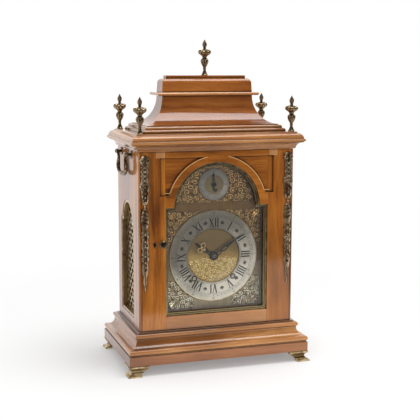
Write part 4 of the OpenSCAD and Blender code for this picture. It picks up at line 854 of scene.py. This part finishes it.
def figures(relief, radius, size):
    """Small figures for every fifth minute, from text outlines."""
    for k in range(12):
        text = bpy.data.curves.new("figure", "FONT")
        text.body = str(5 * (k or 12))
        text.size = size
        text.extrude = WAX_HIGH
        text.align_x = text.align_y = "CENTER"
        text.resolution_u = 3
        holder = add_object("figure", text)
        bpy.context.view_layer.update()
        mesh = holder.to_mesh()
        spin = turned(DIAL_CENTRE, 30 * k)
        first = len(relief.points)
        for vertex in mesh.vertices:
            x, z = spin(vertex.co.x, vertex.co.y + radius)
            relief.points.append((x, relief.face_y - vertex.co.z, z))
        relief.faces.extend(tuple(first + i for i in face.vertices) for face in mesh.polygons)
        holder.to_mesh_clear()
        bpy.data.objects.remove(holder)
        bpy.data.curves.remove(text)


engraving = Relief(RING_Y)
for hour, text in enumerate(HOURS):
    numeral(engraving, text, 30 * hour)
    engraving.move = turned(DIAL_CENTRE, 30 * hour + 15)
    engraving.plate([(0, 53.4), (0.9, 56.5), (1.3, 58.6), (0, 61.2), (-1.3, 58.6), (-0.9, 56.5)],
                    WAX_LOW, WAX_HIGH)
    for turn in (-1, 1):
        engraving.plate([(0.4 * turn, 55.6), (2.4 * turn, 59.4), (3.4 * turn, 58.4), (2.6 * turn, 55.4),
                         (1.6 * turn, 54.6)], WAX_LOW, WAX_HIGH)
for minute in range(60):
    engraving.move = turned(DIAL_CENTRE, 6 * minute)
    stroke(engraving, (0, TRACK[0]), (0, TRACK[1]), 0.85 if minute % 5 == 0 else 0.4)
for quarter in range(48):
    engraving.move = turned(DIAL_CENTRE, 7.5 * quarter)
    stroke(engraving, (0, 46.9), (0, 48), 0.35)
engraving.move = lambda u, v: (u, v)
for radius in CIRCLES:
    engraving.ring(DIAL_CENTRE, radius - 0.14, radius + 0.14, WAX_LOW, LINE_HIGH, 120)
figures(engraving, FIGURE_R, FIGURE_SIZE)
engraving.build("ring_engraving", "case", black_wax, "blued_steel")

rim = Relief(RING_Y)
rim.ring(DIAL_CENTRE, RING_R - 1.4, RING_R - 0.2, -0.3, 0.12, 128)
rim.build("ring_rim", "case", rim_brass, "polished_brass")


# ---- Dial centre ----

disc = Relief(DIAL_Y)
disc.ring(DIAL_CENTRE, 7.4, RING_IN - 0.15, -0.3, 0.25)
disc.build("dial_centre_disc", "case", centre_gold, "polished_brass")


def centre_room(u, v):
    """Free room in the lower half of the disc, for its engraved scrolls."""
    return min(43.5 - hypot(u, v), hypot(u, v) - 8.5, -1 - v - 0.1 * abs(u))


arabesque = Relief(DIAL_Y - 0.25)
arabesque.move = lambda u, v: (u, HANDS_Z + v)
filigree(arabesque, packed(centre_room, (-44, -44), (44, 0), 4.4, 1.2, 0.8), 0.6)
arabesque.build("dial_centre_arabesque", "case", chased_gold, "polished_brass")

lines = Relief(DIAL_Y - 0.25)
for radius in (44.2, 45.2):
    lines.ring(DIAL_CENTRE, radius - 0.12, radius + 0.12, WAX_LOW, 0.05)
for radius in (14, 20, 26, 32):
    lines.ring(DIAL_CENTRE, radius - 0.08, radius + 0.08, WAX_LOW, 0.03, 60, 8, 164)
lines.build("dial_centre_lines", "case", black_wax, "blued_steel")

# Black rings round the winding holes: painted shade of the holes.
hole_shade_rings = Relief(RING_Y)
for side_sign in (-1, 1):
    hole = (side_sign * WIND_X, HANDS_Z - WIND_DROP)
    hole_shade_rings.ring(hole, WIND_IN, WIND_IN + 1.1, -0.3, 0.35, 40)
hole_shade_rings.build("winding_hole_shade_rings", "case", black_wax, "blued_steel")


# ---- Strike dial ----

strike_disc = Relief(STRIKE_Y + 0.8)
strike_disc.ring(STRIKE_CENTRE, 2, 0.6 * STRIKE_R - 0.1, -0.1, 0.2, 64)
strike_disc.build("strike_dial_centre", "case", strike_gold, "polished_brass")

marks = Relief(STRIKE_Y)
for k in range(12):
    marks.move = turned(STRIKE_CENTRE, 30 * k)
    stroke(marks, (0, 18.6), (0, 22.6), 0.9 if k % 3 == 0 else 0.5)
for k in range(60):
    marks.move = turned(STRIKE_CENTRE, 6 * k)
    stroke(marks, (0, 23.6), (0, 24.8), 0.25)
marks.move = lambda u, v: (u, v)
for radius in (16.9, 23.6, 24.8):
    marks.ring(STRIKE_CENTRE, radius - 0.13, radius + 0.13, WAX_LOW, LINE_HIGH, 72)
marks.build("strike_dial_marks", "case", black_wax, "blued_steel")


# ---- Hands ----

hour_high = place("hour_hand")[1]
minute_high = place("minute_hand")[1]
strike_hand_low = place("strike_hand")[0]


def flat(value):
    return lambda share: value


def hour_hand():
    """Hour hand: a dark blued shank with leaves and a pointed tip, standing in as painted shade and
    reflection, and two round eyes in brass.
    """
    shank = Relief(hour_high.y - 0.5, sunk=0.45)
    shank.move = turned(DIAL_CENTRE, HOUR_ANGLE)
    shank.ring((0, 0), 4.62, 7.2, -0.45, 0.6, 48)
    hand = Relief(hour_high.y - 0.5, sunk=0.45)
    hand.move = shank.move
    for side in (-1, 1):
        shank.ridge([(side * 2.6, 6), (side * 2.2, 10), (side * 0.9, 15), (side * 0.5, 19)],
                    lambda s: 2.6 - 0.8 * s, flat(0.7))
        shank.leaf((side * 0.6, 16.4), 90 - side * 70, 6.4, 2.6, 0.8, bend=side * 50, lobes=2)
        hand.ridge(circle((side * 5.1, 26.5), 3.5, 28, 0, 359.9), flat(1.5), flat(0.8))
        hand.leaf((side * 3.6, 31.0), 90 - side * 8, 3.6, 1.8, 0.8, bend=side * 40, lobes=1)
        hand.ridge([(side * 0.4, 18.6), (side * 1.4, 22), (side * 3.2, 23.4)], flat(1.3), flat(0.7))
    hand.bead(0, 26.4, 1.9, 1.0)
    shank.leaf((0, 29.5), 90, 11.5, 4.0, 0.9, lobes=0)
    # The shank's dark steel is painted shade and reflection on the hand.
    shank.build("hour_hand_shank", "hour_wheel", blued_steel, "blued_steel", replaces=["hour_hand"])
    hand.build("hour_hand_pierced", "hour_wheel", hand_brass, "blued_steel", replaces=["hour_hand"])


def minute_hand():
    """Long minute hand: a pierced shank of two loops and a tapered blade."""
    hand = Relief(minute_high.y - 0.5, sunk=0.45)
    hand.move = turned(DIAL_CENTRE, MINUTE_ANGLE)
    hand.ring((0, 0), 2.62, 4.7, -0.45, 0.9, 40)
    for side in (-1, 1):
        hand.ridge([(side * 1.4, 4.2), (side * 2.7, 8), (side * 2.4, 11.5), (side * 0.8, 15)],
                   flat(1.9), flat(0.6))
        hand.ridge([(side * 0.8, 15), (side * 3.0, 19.5), (side * 2.5, 24), (side * 0.6, 28)],
                   flat(1.9), flat(0.6))
    hand.bead(0, 15, 2.2, 0.9)
    hand.bead(0, 28.5, 2.8, 0.9)
    hand.ridge([(0, 28), (0, 34), (0, 46), (0, 61.8)], lambda s: 4.6 * (1 - s) + 0.8, flat(0.6))
    hand.build("minute_hand_pierced", "centre_arbor", blued_steel, "blued_steel", replaces=["minute_hand"])


def hand_boss():
    """Domed collet that holds the minute hand."""
    boss = Relief(minute_high.y - 1.0, sunk=0.2)
    boss.move = lambda u, v: (u, HANDS_Z + v)
    boss.bead(0, 0, 3.8, 0.95, 24)
    boss.build("hand_collet", "centre_arbor", blued_steel, "blued_steel")


def strike_hand():
    """Small pointer with a bulb at its tip and a curled tail."""
    hand = Relief(strike_hand_low.y + 1.3, sunk=0.4)
    hand.move = turned(STRIKE_CENTRE, -3)
    hand.bead(0, 0, 4.4, 0.9, 24)
    hand.ridge([(0, 2), (0, 9), (0, 15)], lambda s: 4.4 - 1.6 * s, flat(0.6))
    hand.bead(0, 16, 2.6, 0.8)
    hand.ridge([(0, 16.8), (0, 20.6)], lambda s: 2.8 - 2.2 * s, flat(0.5))
    hand.ridge([(0, -2), (-0.8, -6), (0.2, -9.6), (2.8, -11), (4.4, -9), (3.4, -7.2)],
               lambda s: 3.6 - 1.4 * s, flat(0.6))
    hand.build("strike_hand_shaped", "strike_hand", blued_steel, "blued_steel", replaces=["strike_hand"])


hour_hand()
minute_hand()
hand_boss()
strike_hand()


# ---- Mounts on the stiles ----

mounts_low, mounts_high = place("corner_mounts")
MOUNT_W = 17
MOUNT_X = mounts_high.x - MOUNT_W / 2
MOUNT_TOP = mounts_high.z
MOUNT_L = MOUNT_TOP - mounts_low.z

# Outline of a mount: [distance from its top, half its width]
MOUNT_EDGE = [(0, 3), (3, 6), (9, 7.4), (16, 6.2), (30, 5.4), (41, 5.4), (45, 7.6), (50, 8.2), (54, 6.6),
              (62, 5.6), (69, 6.4), (75, 4.6), (79, 1.5), (83, 1.5), (88, 3.6), (95, 5.6), (105, 6.4),
              (113, 5.4), (118, 4), (124, 6), (130, 6.2), (136, 4.4), (142, 6), (147, 6), (153, 4.2),
              (160, 6), (166, 6), (173, 4), (181, 5.2), (189, 4.6), (196, 2.6), (204, 2.9), (212, 1.6),
              (219.6, 0.3)]


def mount(name, sx):
    """Cast pendant of scrolls, trellis, flowers and leaves."""
    relief = Relief(DOOR_Y, sunk=0.2)
    relief.move = lambda u, v: (sx * (MOUNT_X + u), MOUNT_TOP - v)
    relief.rows([[relief.at(-half, v, -0.2), relief.at(-half, v, 0.9), relief.at(-0.5 * half, v, 1.9),
                  relief.at(0, v, 2.3), relief.at(0.5 * half, v, 1.9), relief.at(half, v, 0.9),
                  relief.at(half, v, -0.2)] for v, half in MOUNT_EDGE])

    def leaves(v, out, angle, length, width, height, bend, lobes=2):
        for side in (-1, 1):
            relief.leaf((side * out, v), angle if side > 0 else 180 - angle, length, width, height,
                        bend=side * bend, lobes=lobes)

    def scrolls(v, out, r, start, turns, width, height):
        for side in (-1, 1):
            relief.scroll((side * out, v), r, start if side > 0 else 180 - start, turns, side, width, height)

    scrolls(8, 3.9, 3.8, -90, 1.2, 2.4, 4.2)
    relief.leaf((0, 2), 90, 14, 6, 4.6, lobes=2)
    for row in range(4):
        v = 18 + 7 * row
        for side in (-1, 1):
            relief.ridge([(-5 * side, v - 3.4), (0, v), (5 * side, v + 3.4)], flat(1.7), flat(3.4))
            relief.bead(side * 5, v, 1.7, 3.4)
        relief.bead(0, v, 1.9, 4.3)
    relief.ridge([(-7.6, 47), (0, 45.4), (7.6, 47)], flat(3.6), flat(3.6))
    for side in (-1, 1):
        relief.bead(side * 7, 48.5, 1.5, 4.4)
    relief.flower(0, 50, 6.6, 4.6, 5)
    for row in range(3):
        leaves(54 + 7 * row, 0.6, 40 + 8 * row, 10 - row, 5.2, 4.0, 50)
        relief.bead(0, 60 + 7 * row, 2.0, 4.4)
    relief.ridge([(0, 73), (0, 90)], flat(2.8), flat(2.8))
    relief.bead(0, 81, 2.1, 3.4)
    for row in range(4):
        v = 88 + 6.4 * row
        relief.leaf((-5, v + 3), -32, 12.5, 4.8, 4.4, bend=20, lobes=1)
    relief.flower(0, 126, 6.8, 4.5, 6)
    leaves(130, 0.8, 62, 9, 4.4, 3.8, 40)
    scrolls(144, 2.9, 3.4, 90, 1.2, 2.2, 4.0)
    relief.bead(0, 138, 2.0, 4.2)
    leaves(148, 0.8, 62, 9, 4.2, 3.6, 40)
    relief.flower(0, 162, 6.6, 4.4, 6)
    for row in range(3):
        leaves(166 + 7.4 * row, 0.5, 48 + 6 * row, 8.4 - 1.2 * row, 4.2 - 0.4 * row, 3.6, 45)
        relief.bead(0, 172 + 7.4 * row, 1.8 - 0.2 * row, 3.9)
    relief.leaf((0, 190), 90, MOUNT_L - 190.6, 5.4, 3.4, lobes=3)
    relief.build(name, "front_door", aged_brass, "aged_brass", replaces=["corner_mounts"])


mount("mount_right", 1)
mount("mount_left", -1)


# ---- Stringing and patches on the door's head ----

SQUARE_X, SQUARE_W, SQUARE_H, SQUARE_TOP = 96.5, 15, 10, 360
# Half the width of a line, where an arc starts and how far it goes in degrees, and its level foot
STRING_HALF, STRING_START, STRING_SWEEP, STRING_FOOT = 0.45, 18, 60, 9


def stringing():
    """Pale lines let into the head, along the arch's band and level at its feet, and corner squares."""
    inlay = Relief(DOOR_Y, sunk=0.25)
    radius = ARCH_R + ARCH_BAND - 1.1
    for start in (STRING_START, 180 - STRING_START - STRING_SWEEP):
        inlay.ring((0, ARCH_Z), radius - STRING_HALF, radius + STRING_HALF, -0.2, 0.05, 40, start,
                   STRING_SWEEP)
    foot_x, foot_z = polar((0, ARCH_Z), radius, radians(STRING_START))
    for side in (-1, 1):
        stroke(inlay, (side * foot_x, foot_z), (side * (foot_x + STRING_FOOT), foot_z), 2 * STRING_HALF, 0.05)
    inlay.build("arch_stringing", "front_door", box_inlay, "walnut")
    squares = Relief(DOOR_Y, sunk=0.25)
    for side in (-1, 1):
        left, right = side * SQUARE_X - SQUARE_W / 2, side * SQUARE_X + SQUARE_W / 2
        squares.plate([(left, SQUARE_TOP - SQUARE_H), (right, SQUARE_TOP - SQUARE_H), (right, SQUARE_TOP),
                       (left, SQUARE_TOP)], -0.2, 0.04)
    squares.build("head_squares", "front_door", pale_veneer, "walnut")


stringing()


# ---- Floor, light and camera ----

def floor():
    """Pale table top that fades into the white background; its glow lights nothing."""
    s = Surface("floor", {"Roughness": 0.9, "IOR": 1.3})
    s.feed(colour=(0.93, 0.93, 0.93, 1))
    distance = s.node("VectorMath", {0: s.where, 1: (0.0, 0.1, 0.0)}, operation="DISTANCE").outputs["Value"]
    far = s.plus(0.25, s.times(s.step(distance, 0.2, 0.8), 0.75))
    rays = s.node("LightPath").outputs
    seen = s.maths("MAXIMUM", rays["Is Camera Ray"],
                   s.maths("MAXIMUM", rays["Is Glossy Ray"], rays["Is Transmission Ray"]))
    glow = s.node("Emission", {"Color": (1, 1, 1, 1), "Strength": 1.0})
    mixed = s.node("MixShader", {0: s.times(far, seen), 1: s.shader.outputs[0],
                                 2: glow.outputs[0]})
    s.put(s.tree.nodes["Material Output"].inputs["Surface"], mixed.outputs[0])
    mesh = bpy.data.meshes.new("floor")
    corners = [(-7, -0.42, 0), (0.02, -0.42, 0), (0.3, -0.84, 0), (7, -0.84, 0), (7, 9, 0), (-7, 9, 0)]
    mesh.from_pydata(corners, [], [tuple(range(len(corners)))])
    mesh.materials.append(s.material)
    piece = add_object("floor", mesh)


def world():
    """White to the camera and through glass, plain to matt surfaces; reflections are bright behind
    the clock and dim in front."""
    made = bpy.data.worlds.new("studio")
    bpy.context.scene.world = made
    made.use_nodes = True
    n = Nodes(made.node_tree)
    n.tree.nodes.clear()
    rays = n.node("LightPath").outputs
    depth = n.node("SeparateXYZ", {0: n.node("TexCoord").outputs["Generated"]}).outputs["Y"]
    behind = n.node("MapRange", {"Value": depth, "From Min": 0.0, "From Max": 0.5, "To Min": 0.05,
                                 "To Max": 1.0}).outputs[0]
    light = n.node("Mix", {0: rays["Is Glossy Ray"], 2: 0.62, 3: behind}).outputs[0]
    white = n.maths("MAXIMUM", rays["Is Camera Ray"], rays["Is Transmission Ray"])
    strength = n.node("Mix", {0: white, 2: light, 3: 1.0}).outputs[0]
    back = n.node("Background", {"Color": (1, 1, 1, 1), "Strength": strength})
    n.put(n.node("OutputWorld").inputs[0], back.outputs[0])


def lamp(name, stand, aim, size, power):
    """Soft square lamp that faces a point."""
    data = bpy.data.lights.new(name, "AREA")
    data.shape = "SQUARE"
    data.size = size
    data.energy = power
    piece = add_object(name, data)
    piece.location = stand
    piece.rotation_euler = (Vector(aim) - Vector(stand)).to_track_quat("-Z", "Y").to_euler()


def camera():
    """Camera at the photograph's angle: turned 18.5 degrees to the left and 8.7 degrees up."""
    azimuth, elevation, roll = radians(-18.46), radians(8.74), radians(0.22)
    distance, target = 1.6615, Vector((0.0106, 0, 0.2516))
    back = Vector((sin(azimuth) * cos(elevation), -cos(azimuth) * cos(elevation),
                   sin(elevation)))
    right = (-back).cross(Vector((0, 0, 1))).normalized()
    up = right.cross(-back)
    right_rolled = right * cos(roll) + up * sin(roll)
    up_rolled = up * cos(roll) - right * sin(roll)
    data = bpy.data.cameras.new("camera")
    sensor, focal_pixels, photo_pixels = 36, 973, 420
    data.sensor_width = sensor
    data.lens = sensor * focal_pixels / photo_pixels
    piece = add_object("camera", data)
    frame_axes = Matrix((right_rolled, up_rolled, back)).transposed().to_4x4()
    piece.matrix_world = Matrix.Translation(target + back * distance) @ frame_axes
    bpy.context.scene.camera = piece


floor()
world()
lamp("softbox", (0.35, -0.25, 2.0), (0, 0, 0.2), 1.2, 24)
lamp("fill", (-1.2, -2.0, 0.9), (0, 0, 0.25), 1.0, 9)
camera()
bpy.context.scene.view_settings.view_transform = "Standard"
